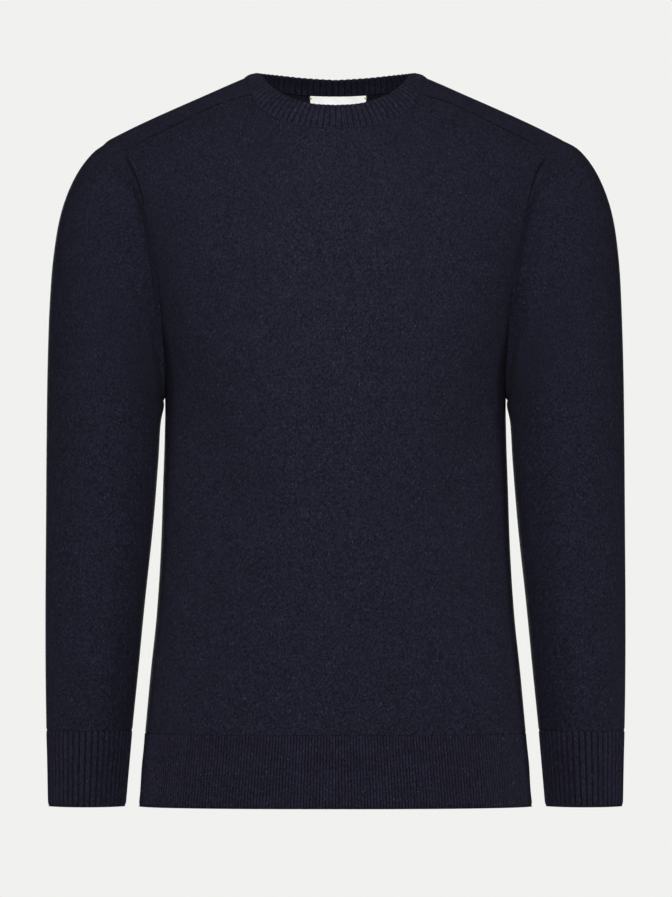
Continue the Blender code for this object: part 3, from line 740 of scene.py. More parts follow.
@dataclass
class Panels:
    """The front and back panels, with their shoulder and side seams."""

    wall: float = 2.0
    shoulder_groove: Groove = (1.3, 0.8, 0.6)
    armhole_groove: Groove = (1.1, 1.1, 0.65)
    side_groove: Groove = (0.6, 1.2, 0.2)
    band_groove: Groove = (0.6, 1.2, 0.25)
    neck_groove: Groove = (0.8, 1.2, 0.5)
    shoulder_fade: Span = (172.0, 200.0)
    shoulder_loss: float = 0.7
    armhole_start: Span = (70.0, 79.0)
    armhole_fade: Span = (110.0, 128.0)
    armhole_loss: float = 0.6

    def __post_init__(self) -> None:
        """Lays out both panels and finds their seams."""
        self.grid = PanelGrid()
        turns, overs = self.grid.front()
        self.front, self.front_facing = TORSO.point(turns, overs), normals(TORSO.point, turns, overs)
        turns, overs = self.grid.back()
        self.back, self.back_facing = TORSO.point(turns, overs), normals(TORSO.point, turns, overs)
        self.seams = self.find_seams()

    def armhole(self) -> tuple[Floats, Floats]:
        """The left armhole's edge, from the shoulder down the front and up the back, with its normals."""
        low, ridge = self.grid.body_rows - 1, self.grid.ridge_row
        found = []
        for ahead_of, behind in ((self.front, self.back), (self.front_facing, self.back_facing)):
            down = [behind[ridge:, -1], ahead_of[-2:low:-1, -1], ahead_of[low : low + 1, -1]]
            found.append(np.vstack([*down, behind[low + 1 : ridge, -1]]))
        return found[0], unit(found[1])

    def neck(self) -> tuple[Floats, Floats]:
        """The neck's edge, from the middle of the front by the left shoulder, with its normals."""
        middle, corner, ridge = self.grid.middle, self.grid.corner, self.grid.ridge_row
        found = []
        for ahead_of, behind in ((self.front, self.back), (self.front_facing, self.back_facing)):
            throat = ahead_of[-1, middle : corner + 1]
            shoulder = behind[-2 : ridge - 1 : -1, corner]
            nape = behind[ridge, corner - 1 : middle - 1 : -1]
            half = np.vstack([throat, shoulder, nape])
            found.append(np.vstack([half, mirrored(half[-2:0:-1])]))
        return found[0], unit(found[1])

    def find_seams(self) -> dict[str, Seam]:
        """All seams of the panels, by name."""
        grid = self.grid
        shoulder, side = (-1, slice(grid.corner, None)), (slice(None, grid.body_rows), -1)
        ring, ring_facing = (np.vstack([part, part[:1]]) for part in self.armhole())
        neck, neck_facing = (np.vstack([part, part[:1]]) for part in self.neck())
        fading = 1 - self.shoulder_loss * eased(self.front[shoulder][:, 0], *self.shoulder_fade)
        below = -ring[:, 2]
        fades = 1 - self.armhole_loss * eased(below, *self.armhole_fade)
        marked = eased(below, *self.armhole_start) * fades
        even = np.ones(grid.body_rows)
        seams = {}
        for name, points, facing, groove, strength in (
            ("shoulder", self.front[shoulder], self.front_facing[shoulder], self.shoulder_groove, fading),
            ("armhole", ring, ring_facing, self.armhole_groove, marked),
            ("side", self.front[side], self.front_facing[side], self.side_groove, even),
        ):
            seams[f"{name}_left"] = Seam(points, facing, *groove, strength)
            seams[f"{name}_right"] = Seam(mirrored(points), mirrored(facing), *groove, strength)
        seams["neck"] = Seam(neck, neck_facing, *self.neck_groove, beside_top(neck))
        panels = (("front", self.front, self.front_facing), ("back", self.back, self.back_facing))
        for name, points, facing in panels:
            even = np.ones(points.shape[1])
            seams[f"hem_{name}"] = Seam(points[0], facing[0], *self.band_groove, even)
        return seams

    def build(self, finish: "Finish") -> list[bpy.types.Object]:
        """Makes and dresses both panels.

        Args:
            finish: The jersey.

        Returns:
            The front and the back.
        """
        pieces = []
        for name, points, facing, cells in (
            ("front", self.front, self.front_facing, None),
            ("back", self.back, self.back_facing, self.grid.back_cells(len(self.back))),
        ):
            outer, shade = sewn(points, self.seams.values())
            inner = outer - self.wall * facing
            coat = Coat({"knit": knit_layer(points, self.grid.middle), "seam": shade})
            piece = shell(f"{name}_jersey", outer, inner, coat, cells)
            dress(piece, finish, name)
            pieces.append(piece)
        return pieces


# Sleeves


class Side(Enum):
    """The wearer's side that a piece is on, with the sign of what lies outwards there."""

    LEFT = 1
    RIGHT = -1

    @property
    def word(self) -> str:
        """The side as a piece's name gives it."""
        return self.name.lower()

    def moved(self, points: Floats) -> Floats:
        """Points of a left piece, moved to this side."""
        return points * np.array([float(self.value), 1.0, 1.0])


@dataclass
class SleeveForm:
    """The left sleeve, whose first ring is the armhole's own edge."""

    seam: Floats
    facing: Floats
    wall: float = 2.0
    step: float = 4.6
    rim: tuple[float, ...] = (0.6, 1.2, 2.0, 3.0, 4.4, 6.2, 8.4, 11.0, 14.0)
    samples: int = 900
    edge_rows: int = 3
    cuff_top: float = 11.0
    cuff_edge: float = 12.0
    pull_stations: float = 4.5
    pull_power: float = 2.5
    margin: float = 0.02
    break_near: float = 5.0
    break_far: float = 18.0
    break_start: float = 4.0
    back_break: float = 0.7
    slump: float = 2.8
    slump_to: float = 5.0
    slump_power: float = 0.5
    slump_start: float = 0.5
    underarm_groove: Groove = (0.6, 1.2, 0.2)
    band_groove: Groove = (0.6, 1.2, 0.25)
    first_wale: float = 7.0

    def __post_init__(self) -> None:
        """Shares the armhole's edge out round the sleeve."""
        along = lengths_along(np.vstack([self.seam, self.seam[:1]]))
        underarm = int(np.argmin(self.seam[:, 2]))
        half = along[underarm], along[-1] - along[underarm]
        front = np.pi * along[: underarm + 1] / half[0]
        back = np.pi + np.pi * (along[underarm + 1 : -1] - half[0]) / half[1]
        self.angles = np.concatenate([front, back])
        self.pull = self.seam - self.bare(self.angles, np.zeros(len(self.seam)))

    def bare(self, angle: Floats, station: Floats) -> Floats:
        """The sleeve before it is drawn to the armhole.

        Args:
            angle: Angles round it, from 0 at its outer edge.
            station: Places along it, by the rings' numbers.

        Returns:
            A point for each pair.
        """
        edges = {name: SLEEVE_RINGS.read(name, station) for name in SLEEVE_RINGS.columns}
        outer = np.stack([edges["outer_out"], 0 * station, edges["outer_height"]], -1)
        inner = np.stack([edges["inner_out"], 0 * station, edges["inner_height"]], -1)
        middle = (edges["front"] + edges["back"]) / 2
        half = (edges["back"] - edges["front"]) / 2
        out, forward = ahead(angle, edges["power"]), across(angle, edges["power"])
        point = (outer + inner) / 2 + (outer - inner) / 2 * out[..., None]
        point[..., 1] = middle * forward**2 - half * forward
        return point

    def drawn(self, angle: Floats, station: Floats) -> Floats:
        """The sleeve drawn to the armhole's edge over its first stations."""
        wound = np.concatenate([self.angles, [2 * np.pi]])
        pull = np.stack([np.interp(angle % (2 * np.pi), wound, np.append(c, c[0])) for c in self.pull.T], -1)
        fade = np.clip(1 - station / self.pull_stations, 0, 1) ** self.pull_power
        return self.bare(angle, station) + pull * fade[..., None]

    def point(self, angle: Floats, station: Floats) -> Floats:
        """The drawn sleeve, sunk where it breaks beside the armhole seam.

        Args:
            angle: Angles round it.
            station: Places along it.

        Returns:
            A point for each pair.
        """
        drawn = self.drawn(angle, station)
        away = np.linalg.norm(drawn - self.drawn(angle, 0 * station), axis=-1)
        turned = angle % (2 * np.pi)
        share = np.where(turned <= np.pi, turned, 2 * np.pi - turned) / np.pi
        depth = ARMHOLE_BREAK.read("depth", share) * np.where(turned <= np.pi, 1, self.back_break)
        beyond = away - ARMHOLE_BREAK.read("away", share)
        trough = np.exp(-((beyond / np.where(beyond < 0, self.break_near, self.break_far)) ** 2))
        sunk = depth * trough * np.clip(away / self.break_start, 0, 1)
        within = np.clip(station, self.margin, self.cuff_edge - self.margin)
        return drawn + sunk[..., None] * normals(self.drawn, angle, within)

    def outwards(self, angle: Floats, station: Floats) -> Floats:
        """Unit normals of the sleeve's outside."""
        within = np.clip(station, self.margin, self.cuff_edge - self.margin)
        return -normals(self.point, angle, within)

    def rows(self) -> Floats:
        """Stations of the sleeve's rows, evenly apart along its front."""
        fine = np.linspace(0, self.cuff_top, self.samples)
        along = lengths_along(self.point(np.full(fine.shape, QUARTER), fine))
        where = spaced(float(along[-1]), self.step, self.rim)
        return np.interp(where * along[-1], along, fine)

    def clear_of_panels(self, facing: Floats) -> Floats:
        """Normals whose first rows don't lean into the panels, so that the walls stay apart.

        Args:
            facing: The grid's normals.

        Returns:
            The grid's normals, the first rows turned.
        """
        towards = unit(np.cross(self.facing, np.roll(self.seam, -1, axis=0) - np.roll(self.seam, 1, axis=0)))
        edge = facing[: self.edge_rows]
        leaning = np.maximum((edge * towards).sum(axis=-1, keepdims=True), 0)
        return np.concatenate([unit(edge - leaning * towards), facing[self.edge_rows :]])

    def seams(self, points: Floats, facing: Floats) -> list[Seam]:
        """The underarm seam and the cuff's.

        Args:
            points: The sleeve's outside points.
            facing: Their normals.

        Returns:
            Both seams.
        """
        underarm = int(np.argmin(self.seam[:, 2]))
        wrist, wrist_facing = (np.vstack([part[-1], part[-1, :1]]) for part in (points, facing))
        return [
            Seam(points[:, underarm], facing[:, underarm], *self.underarm_groove, np.ones(len(points))),
            Seam(wrist, wrist_facing, *self.band_groove, np.ones(len(wrist))),
        ]

    def measured(self, points: Floats) -> tuple[Floats, Floats, Floats]:
        """Distances over the sleeve, for the knit layer.

        Args:
            points: The sleeve's outside points.

        Returns:
            Millimetres round it both ways, millimetres up it, and each row's girth.
        """
        length = lengths_along(np.concatenate([points, points[:, :1]], axis=1), axis=1)
        around = np.repeat(length[:, -1:], points.shape[1], axis=1)
        out = length[:, :-1]
        out = np.where(out > around / 2, out - around, out)
        return out, lengths_along(points[::-1], axis=0)[::-1], around

    def slumped(self, angle: Floats, station: Floats) -> Floats:
        """How far the right sleeve's head, which hangs a little lower, sinks at each point."""
        run = np.clip(station / self.slump_to, 0, 1) ** self.slump_power
        start = eased(station, 0.0, self.slump_start)
        return self.slump * np.sin(np.pi * run) * start * np.clip(np.cos(angle), 0, 1)

    def build(self, armhole: Seam, finish: "Finish") -> list[bpy.types.Object]:
        """Makes and dresses both sleeves.

        Args:
            armhole: The left armhole seam.
            finish: The jersey.

        Returns:
            The left sleeve and the right.
        """
        angle, station = np.meshgrid(self.angles, self.rows())
        points = self.point(angle, station)
        facing = self.clear_of_panels(ring_normals(points))
        outer, shade = sewn(points, [armhole, *self.seams(points, facing)])
        inner = outer - self.wall * facing
        out, up, around = self.measured(points)
        sunk = self.slumped(angle, station)[..., None] * facing
        pieces = []
        for side in Side:
            order = slice(None, None, side.value)
            drop = sunk if side is Side.RIGHT else 0 * sunk
            outside, inside = (side.moved(layer - drop)[:, order] for layer in (outer, inner))
            knit = np.stack([out + self.first_wale * side.value, up], -1)
            coat = Coat({"knit": knit[:, order], "seam": shade[:, order]}, around[:, order])
            piece = shell(f"sleeve_{side.word}_jersey", outside, inside, coat, closed=True)
            dress(piece, finish, f"sleeve_{side.word}")
            pieces.append(piece)
        return pieces


# Ribs


@dataclass(frozen=True)
class RibKnit:
    """A rib's cross-section: raised wales with a furrow between ribs.

    Phases count ribs, and a whole number is the middle of a furrow. Each drift has a size, how many
    times it comes round, and where it starts.
    """

    depth: float
    wales: int
    columns: int
    wander: float = 0.0
    dip: float = 0.16
    dip_width: float = 0.07
    shoulder: Span = (0.16, 0.62)
    drifts: tuple[tuple[float, float, float], ...] = ((1.0, 3.0, 0.4), (0.7, 7.0, 1.9), (0.5, 17.0, 5.0))

    def height(self, phase: Floats) -> Floats:
        """How far the cloth lies below the ribs' tops, as a share of their depth, from 0 down to -1."""
        wave = 0.5 - 0.5 * np.cos(2 * np.pi * phase)
        split = np.exp(-(((phase % 1 - 0.5) / self.dip_width) ** 2)) if self.wales == 2 else 0 * phase
        return eased(wave, *self.shoulder) - 1 - self.dip * split

    def phases(self, ribs: int) -> Floats:
        """Phases of the columns, unevenly spaced as knitted ribs are."""
        even = np.arange(ribs * self.columns) / self.columns
        whole = 2 * np.pi * even / ribs
        drift = sum(size * np.sin(times * whole + start) for size, times, start in self.drifts)
        return even + self.wander * drift


def both_ways(phase: Floats, ribs: int) -> Floats:
    """Phases counted both ways from the first rib."""
    return np.where(phase > ribs / 2, phase - ribs, phase)


@dataclass(frozen=True)
class Sway:
    """A slow unevenness of a band, in and out, over its turn and its height."""

    size: float
    rate: float
    bend: float
    bends: float
    turns: float
    drift: float

    def at(self, turn: Floats, up: Floats) -> Floats:
        """How far out the band lies at each place."""
        wave = np.sin(up * self.rate + self.bend * np.sin(turn * self.bends))
        return self.size * wave * np.sin(turn * self.turns + up * self.drift)


@dataclass
class RibBand:
    """What the rib bands of the hem and the cuffs share; each turns in at its foot."""

    top: float
    edge: float
    ribs: int
    wall: float
    knit: RibKnit
    sway: Sway
    samples: int
    middle_rows: int
    inner_share: float
    edge_tuck: float
    edge_roll: float = 5.0
    top_ease: float = 3.0
    top_loss: float = 0.35
    foot_rows: tuple[float, ...] = (0.0, 0.5, 1.1, 1.9, 3.0, 4.4)
    middle_gaps: Span = (6.2, 5.0)
    top_rows: tuple[float, ...] = (3.4, 2.2, 1.2, 0.5, 0.0)

    @property
    def height(self) -> float:
        """The band's height."""
        return self.top - self.edge

    def rows(self) -> Floats:
        """Heights of the rows above the band's edge, closer near its foot and its top."""
        first, last = self.middle_gaps
        middle = np.linspace(first, self.height - last, self.middle_rows)
        return np.concatenate([self.foot_rows, middle, self.height - np.array(self.top_rows)])

    def tuck(self, rows: Floats) -> Floats:
        """How far each row turns in at the band's foot."""
        near = np.clip(1 - rows / self.edge_roll, 0, 1)[:, None]
        return self.edge_tuck * (1 - np.sqrt(np.clip(1 - near**2, 0, 1)))

    def near_top(self, rows: Floats) -> Floats:
        """How near each row is to the band's top, from 0 to 1."""
        return np.clip(1 - (self.height - rows) / self.top_ease, 0, 1)[:, None]

    def outside(self, phase: Floats, rows: Floats, sway: Floats) -> Floats:
        """How far out the outside lies from the band's form.

        Args:
            phase: The columns' phases.
            rows: The rows' heights.
            sway: The band's unevenness.

        Returns:
            A distance for each point.
        """
        relief = self.knit.depth * self.knit.height(phase)[None]
        return relief * (1 - self.top_loss * self.near_top(rows)) + sway - self.tuck(rows)

    def inside(self, phase: Floats, rows: Floats, sway: Floats) -> Floats:
        """How far out the inside lies, where furrows stand behind the ribs; it takes the same values."""
        relief = self.inner_share * self.knit.depth * self.knit.height(phase + 0.5)[None]
        return -self.wall + self.tuck(rows) - relief + sway


@dataclass
class HemBands(RibBand):
    """The one-by-one rib bands at the foot of the panels."""

    top: float = -623.7
    edge: float = -693.3
    ribs: int = 156
    wall: float = 2.4
    knit: RibKnit = RibKnit(depth=0.75, wales=1, columns=8)
    sway: Sway = Sway(size=0.35, rate=1 / 9, bend=1.7, bends=3, turns=11, drift=1 / 31)
    samples: int = 4001
    middle_rows: int = 12
    inner_share: float = 0.55
    edge_tuck: float = 2.2

    def build(self, seams: dict[str, Seam], finish: "Finish") -> list[bpy.types.Object]:
        """Makes and dresses both bands.

        Args:
            seams: The panels' seams.
            finish: The one-by-one rib.

        Returns:
            The front band and the back.
        """
        rows = self.rows()
        even = np.linspace(0, 1, self.ribs * self.knit.columns + 1)
        phase = even * self.ribs
        fine = np.linspace(-QUARTER, QUARTER, self.samples)
        coat = Coat({"rib": np.stack(np.meshgrid(phase, rows), -1)})
        ends = [0, -1]
        pieces = []
        for name, side in (("front", 1), ("back", -1)):
            along = lengths_along(TORSO.bare(fine, TORSO.over_at(fine, (self.top + self.edge) / 2, side)))
            turn, level = np.meshgrid(np.interp(even * along[-1], along, fine), self.edge + rows)
            over = TORSO.over_at(turn, level, side)
            points, facing = TORSO.bare(turn, over), normals(TORSO.bare, turn, over)
            sway = self.sway.at(turn, level)
            outer = points + self.outside(phase, rows, sway)[..., None] * facing
            outer, _ = sewn(outer, [seams["side_left"], seams["side_right"]])
            inner = points + self.inside(phase, rows, sway)[..., None] * facing
            inner[:, ends, 1] = outer[:, ends, 1]
            piece = shell(f"hem_{name}_rib", outer, inner, coat)
            dress(piece, finish, f"hem_{name}")
            pieces.append(piece)
        return pieces


@dataclass
class Cuffs(RibBand):
    """The two-by-two rib bands at the sleeve ends."""

    top: float = -620.8
    edge: float = -693.3
    ribs: int = 37
    wall: float = 2.6
    knit: RibKnit = RibKnit(depth=1.05, wales=2, columns=18, wander=0.035)
    sway: Sway = Sway(size=0.3, rate=7, bend=2, bends=1, turns=5, drift=0)
    samples: int = 3001
    middle_rows: int = 14
    inner_share: float = 0.5
    edge_tuck: float = 2.0
    top_sink: float = 0.6

    def build(self, form: SleeveForm, finish: "Finish") -> list[bpy.types.Object]:
        """Makes and dresses both cuffs.

        Args:
            form: The sleeve's form.
            finish: The two-by-two rib.

        Returns:
            The left cuff and the right.
        """
        rows, phase = self.rows(), self.knit.phases(self.ribs)
        fine = np.linspace(0, 2 * np.pi, self.samples)
        along = lengths_along(form.point(fine, np.full(fine.shape, form.cuff_edge)))
        angles = np.interp(phase / self.ribs * along[-1], along, fine)
        angle, station = np.meshgrid(angles, form.cuff_edge - rows / self.height)
        points, facing = form.point(angle, station), form.outwards(angle, station)
        sway = self.sway.at(angle, station)
        sunk = self.top_sink * self.near_top(rows) ** 2
        outer = points + (self.outside(phase, rows, sway) - sunk)[..., None] * facing
        inner = points + self.inside(phase, rows, sway)[..., None] * facing
        outer[..., 2] = inner[..., 2] = (self.edge + rows)[:, None]
        around = np.full(points.shape[:2], float(self.ribs))
        layer = np.stack(np.meshgrid(both_ways(phase, self.ribs), rows), -1)
        pieces = []
        for side in Side:
            order = slice(None, None, -side.value)
            outside, inside = (side.moved(grid)[:, order] for grid in (outer, inner))
            coat = Coat({"rib": layer[:, order]}, around)
            piece = shell(f"cuff_{side.word}_rib", outside, inside, coat, closed=True)
            dress(piece, finish, f"cuff_{side.word}")
            f"sleeve_{side.word}_jersey"
            pieces.append(piece)
        return pieces


@dataclass
class Neckband:
    """The linked two-by-two rib band, rounded over at its top edge."""

    seam: Floats
    facing: Floats
    ribs: int = 91
    wall: float = 3.4
    bulge: float = 1.2
    crest_rise: float = 0.9
    foot_sink: float = 0.9
    foot_loss: float = 0.5
    foot_rate: float = 9.0
    inner_relief: float = 0.3
    inner_loss: float = 0.8
    rim_start: float = 0.95
    rim_roundness: float = 0.55
    rim_relief: float = 0.45
    knit: RibKnit = RibKnit(depth=0.75, wales=2, columns=18, wander=0.03, dip=0.5)
    ups: tuple[float, ...] = (0.0, 0.03, 0.07, 0.13, 0.2, 0.3, 0.4, 0.5, 0.6, 0.7, 0.8, 0.88, 0.94)
    rim_degrees: tuple[float, ...] = (18.0, 40.0, 65.0, 90.0, 115.0, 140.0, 162.0)

    def __post_init__(self) -> None:
        """Finds the band's foot, its climb to the crest, and its ribs at each column."""
        seam, facing = (np.vstack([part, part[:1]]) for part in (self.seam, self.facing))
        along = lengths_along(seam)
        self.phase = self.knit.phases(self.ribs)
        place = self.phase / self.ribs * along[-1]
        self.foot = np.stack([np.interp(place, along, c, period=along[-1]) for c in seam.T], -1)
        turned = np.stack([np.interp(place, along, c, period=along[-1]) for c in facing.T], -1)
        self.foot_facing = unit(turned)
        share = 2 * (self.phase / self.ribs % 1)
        side = np.where(share <= 1, 1, -1)
        share = np.where(share <= 1, share, 2 - share)
        out, forward, height = (NECK_CREST.read(name, share) for name in ("out", "forward", "height"))
        crest = np.stack([side * out, forward, height], -1)
        self.climb = crest - self.foot
        along_band = np.roll(self.foot + crest, -1, axis=0) - np.roll(self.foot + crest, 1, axis=0)
        self.normal = unit(np.cross(along_band, unit(self.climb)))
        self.relief = self.knit.height(self.phase)[:, None]

    def at_foot(self, up: float) -> float:
        """How near a share of the band's height is to its foot, from 0 to 1."""
        return float(np.exp(-((up * self.foot_rate) ** 2)))

    def outside(self, up: float) -> Floats:
        """A ring of the outside.

        Args:
            up: The share of the band's height.

        Returns:
            The ring's points.
        """
        at_foot = self.at_foot(up)
        relief = self.knit.depth * self.relief * (1 - self.foot_loss * at_foot)
        out = self.bulge * np.sin(np.pi * up) + relief
        sunk = -self.foot_sink * at_foot * beside_top(self.foot)[:, None] * self.foot_facing
        return self.foot + up * self.climb + out * self.normal + sunk

    def rim(self, turn: float) -> Floats:
        """A ring of the rounded top.

        Args:
            turn: The angle over it, in radians.

        Returns:
            The ring's points.
        """
        radius = self.wall / 2
        relief = self.knit.depth * self.relief
        relief = relief * (self.rim_relief + (1 - self.rim_relief) * np.abs(np.cos(turn)))
        out = radius * np.cos(turn) - radius + relief * np.cos(turn)
        rise = (radius * self.rim_roundness + self.crest_rise) * np.sin(turn)
        length = np.linalg.norm(self.climb, axis=-1, keepdims=True)
        rise = rise + (1 - self.rim_start) * length + relief * np.sin(turn)
        return self.foot + self.rim_start * self.climb + out * self.normal + rise * unit(self.climb)

    def inside(self, up: float) -> Floats:
        """The ring of the inside at a share of the band's height."""
        inwards = self.wall + self.inner_relief * self.relief * (1 - self.inner_loss * self.at_foot(up))
        return self.foot + up * self.climb + (self.bulge * np.sin(np.pi * up) - inwards) * self.normal

    def build(self, finish: "Finish") -> bpy.types.Object:
        """Makes and dresses the band.

        Args:
            finish: The two-by-two rib.

        Returns:
            The band.
        """
        rings = [self.outside(up) for up in self.ups]
        rings += [self.rim(turn) for turn in np.radians(self.rim_degrees)]
        rings += [self.inside(up) for up in self.ups[::-1]]
        grid = np.array(rings)
        up = lengths_along(grid, axis=0).mean(axis=1)
        layer = np.stack(np.meshgrid(both_ways(self.phase, self.ribs), up), -1)
        band = ring_mesh("neckband_rib", grid, layer, float(self.ribs))
        dress(band, finish, "neckband")
        return band


def ring_mesh(name: str, rings: Floats, layer: Floats, around: float) -> bpy.types.Object:
    """A closed band from rings that run round both ways.

    Args:
        name: The piece's name.
        rings: Points in rings, the last of which joins the first.
        layer: The rib layer, a pair for each point.
        around: How much the layer's first value grows once round.

    Returns:
        The piece, in metres.
    """
    rows, columns = rings.shape[:2]
    index = np.arange(rows * columns).reshape(rows, columns)
    right, below = np.roll(index, -1, axis=1), np.roll(index, -1, axis=0)
    faces = np.stack([index, right, np.roll(right, -1, axis=0), below], -1).reshape(-1, 4)
    mesh = bpy.data.meshes.new(name)
    mesh.from_pydata((rings.reshape(-1, 3) * MM).tolist(), [], faces.tolist())
    values = run_on(layer.reshape(-1, 2)[faces], around)
    mesh.uv_layers.new(name="rib").data.foreach_set("uv", values.reshape(-1))
    return placed(name, mesh)


# Thread and label


@dataclass(frozen=True)
class Yarn:
    """A thread of which short closed lengths are made; it thins to a share of its radius at its ends."""

    radius: float
    sides: int = 6
    end_share: float = 0.55
    askew: Point = (0.31, 0.17, 0.93)

    def rings(self, path: Floats) -> Floats:
        """Points round a line.

        Args:
            path: The line's points.

        Returns:
            A ring of points for each of them.
        """
        along = unit(np.gradient(path, axis=0))
        first = unit(np.cross(along, np.array(self.askew)))
        angle = 2 * np.pi * np.arange(self.sides)[:, None] / self.sides
        radius = np.full(len(path), self.radius)
        radius[[0, -1]] *= self.end_share
        round_it = np.cos(angle) * first[:, None] + np.sin(angle) * np.cross(along, first)[:, None]
        return path[:, None] + radius[:, None, None] * round_it

    def faces(self, start: int, places: int) -> list[tuple[int, ...]]:
        """The faces of one length.

        Args:
            start: The number of its first point.
            places: How many rings of points it has.

        Returns:
            Its sides and both ends.
        """
        found: list[tuple[int, ...]] = []
        for ring in range(places - 1):
            low = start + ring * self.sides
            for j in range(self.sides):
                a, b = low + j, low + (j + 1) % self.sides
                found.append((a, b, b + self.sides, a + self.sides))
        last = start + (places - 1) * self.sides
        found.append(tuple(start + j for j in reversed(range(self.sides))))
        found.append(tuple(last + j for j in range(self.sides)))
        return found

    def lengths(self, name: str, paths: Sequence[Floats]) -> bpy.types.Object:
        """Lengths of the thread as one piece.

        Args:
            name: The piece's name.
            paths: The line of each length.

        Returns:
            The piece, in metres.
        """
        points: list[Floats] = []
        faces: list[tuple[int, ...]] = []
        start = 0
        for path in paths:
            points.append(self.rings(path).reshape(-1, 3))
            faces += self.faces(start, len(path))
            start += len(points[-1])
        mesh = bpy.data.meshes.new(name)
        mesh.from_pydata((np.vstack(points) * MM).tolist(), [], faces)
        return placed(name, mesh)


@dataclass
class NeckLinking:
    """The chain of linking stitches in the groove of the neck seam."""

    pitch: float = 2.5
    yarn: Yarn = Yarn(0.26)
    sink: float = 1.0
    rise: float = 0.35
    lean: float = 0.25
    reach: Span = (0.08, 0.95)
    places: int = 6

    def stitch(self, seam: Seam, along: Floats, start: float, length: float) -> Floats:
        """The line of one stitch.

        Args:
            seam: The neck seam.
            along: How far each of its points lies along it.
            start: Where the stitch starts.
            length: How far it is to the next one.

        Returns:
            The points of its arch.
        """
        places = start + np.linspace(*self.reach, self.places) * length
        points = np.stack([np.interp(places, along, c) for c in seam.points.T], -1)
        facing = unit(np.stack([np.interp(places, along, c) for c in seam.facing.T], -1))
        arch = np.sin(np.linspace(0, np.pi, self.places))[:, None]
        aside = unit(np.cross(facing, np.gradient(points, axis=0)))
        return points + facing * (self.rise * arch - self.sink) + aside * self.lean * (arch - 0.5)

    def build(self, seam: Seam, finish: "Finish") -> bpy.types.Object:
        """Makes and dresses the stitches.

        Args:
            seam: The neck seam.
            finish: The linking yarn.

        Returns:
            One piece with all the stitches.
        """
        along = lengths_along(seam.points)
        count = round(along[-1] / self.pitch)
        length = along[-1] / count
        paths = [self.stitch(seam, along, i * length, length) for i in range(count)]
        piece = self.yarn.lengths("neck_linking", paths)
        dress(piece, finish, None)
        return piece


@dataclass
class Label:
    """The bare woven label inside the back of the neck, with a tack at each end.

    Each ripple has a size, a run across the label and one down it, and where it starts.
    """

    grid: PanelGrid
    width: float = 54.0
    middle: float = 2.6
    length: float = 25.0
    drop: float = 0.6
    gap: float = 0.45
    wall: float = 0.55
    jersey_wall: float = 2.0
    run: float = 139.0
    neck_level: float = -14.0
    rounds: int = 6
    columns: int = 55
    rows: int = 26
    ripples: tuple[tuple[float, float, float, float], ...] = ((0.16, 6.1, 9.0, 0.0), (0.12, 2.9, -4.0, 1.0))
    tail_start: float = 0.7
    tail_lift: float = 0.5
    yarn: Yarn = Yarn(0.22)
    tacks: int = 4
    tack_drop: float = 3.4
    tack_width: float = 2.6
    tack_pitch: float = 0.42
    tack_reach: Span = (-0.62, 0.38)
    tack_rise: float = 0.35
    tack_sink: float = 0.7
    tack_stray: float = 0.12
    tack_places: int = 9

    def place(self, out: Floats, down: Floats, nearer: Floats) -> Floats:
        """A point against the back's inside.

        Args:
            out: Distance from the middle.
            down: Distance below the neck seam.
            nearer: Distance in from the cloth's inside.

        Returns:
            The points.
        """
        height = np.full(out.shape, self.neck_level)
        for _ in range(self.rounds):
            turn = np.sign(out) * TORSO.turn_at(np.abs(out), height)
            over = self.grid.back_neck_over(turn / self.grid.ridge_end_turn) - down / self.run
            height = TORSO.bare(turn, over)[..., 2]
        surface, facing = TORSO.point(turn, over), normals(TORSO.point, turn, over)
        return surface - (self.jersey_wall + nearer)[..., None] * facing

    def tape(self) -> bpy.types.Object:
        """The tape, which ripples a little and stands off towards its lower end."""
        spread = self.middle + np.linspace(-0.5, 0.5, self.columns) * self.width
        out, down = np.meshgrid(spread, self.drop + np.linspace(0, 1, self.rows) * self.length)
        waves = (size * np.sin(out / wide + down / high + start) for size, wide, high, start in self.ripples)
        tail = np.clip((down - self.length * self.tail_start) / self.length, 0, 1)
        lift = self.gap + sum(waves) + self.tail_lift * tail
        coat = Coat({"weave": np.stack([out - self.middle, down], -1)})
        return shell("label_tape", self.place(out, down, lift + self.wall), self.place(out, down, lift), coat)

    def tack_lines(self) -> list[Floats]:
        """The lines of the tack stitches at both ends of the tape."""
        reach = self.width / 2 + np.linspace(*self.tack_reach, self.tack_places) * self.tack_width
        arch = self.gap + self.wall + self.tack_rise * np.sin(np.linspace(0, np.pi, self.tack_places))
        arch -= np.where(reach > self.width / 2, self.tack_sink, 0.0)
        paths = []
        for end in (-1, 1):
            for i in range(self.tacks):
                down = self.tack_drop + self.tack_pitch * (i - (self.tacks - 1) / 2)
                down += self.tack_stray * (-1) ** i
                paths.append(self.place(self.middle + end * reach, np.full(reach.shape, down), arch))
        return paths

    def build(self, tape: "Finish", thread: "Finish") -> list[bpy.types.Object]:
        """Makes and dresses the label and its tacks.

        Args:
            tape: The woven tape.
            thread: The tack thread.

        Returns:
            The label and the tacks.
        """
        label = self.tape()
        dress(label, tape, "label")
        tacks = self.yarn.lengths("label_tacks", self.tack_lines())
        dress(tacks, thread, None)
        flat = (self.width * MM, self.length * MM)
        return [label, tacks]


# Finishes


class Slot(Enum):
    """The record's material slots."""

    JERSEY = "jersey"
    RIB = "rib"
    LABEL = "label_tape"


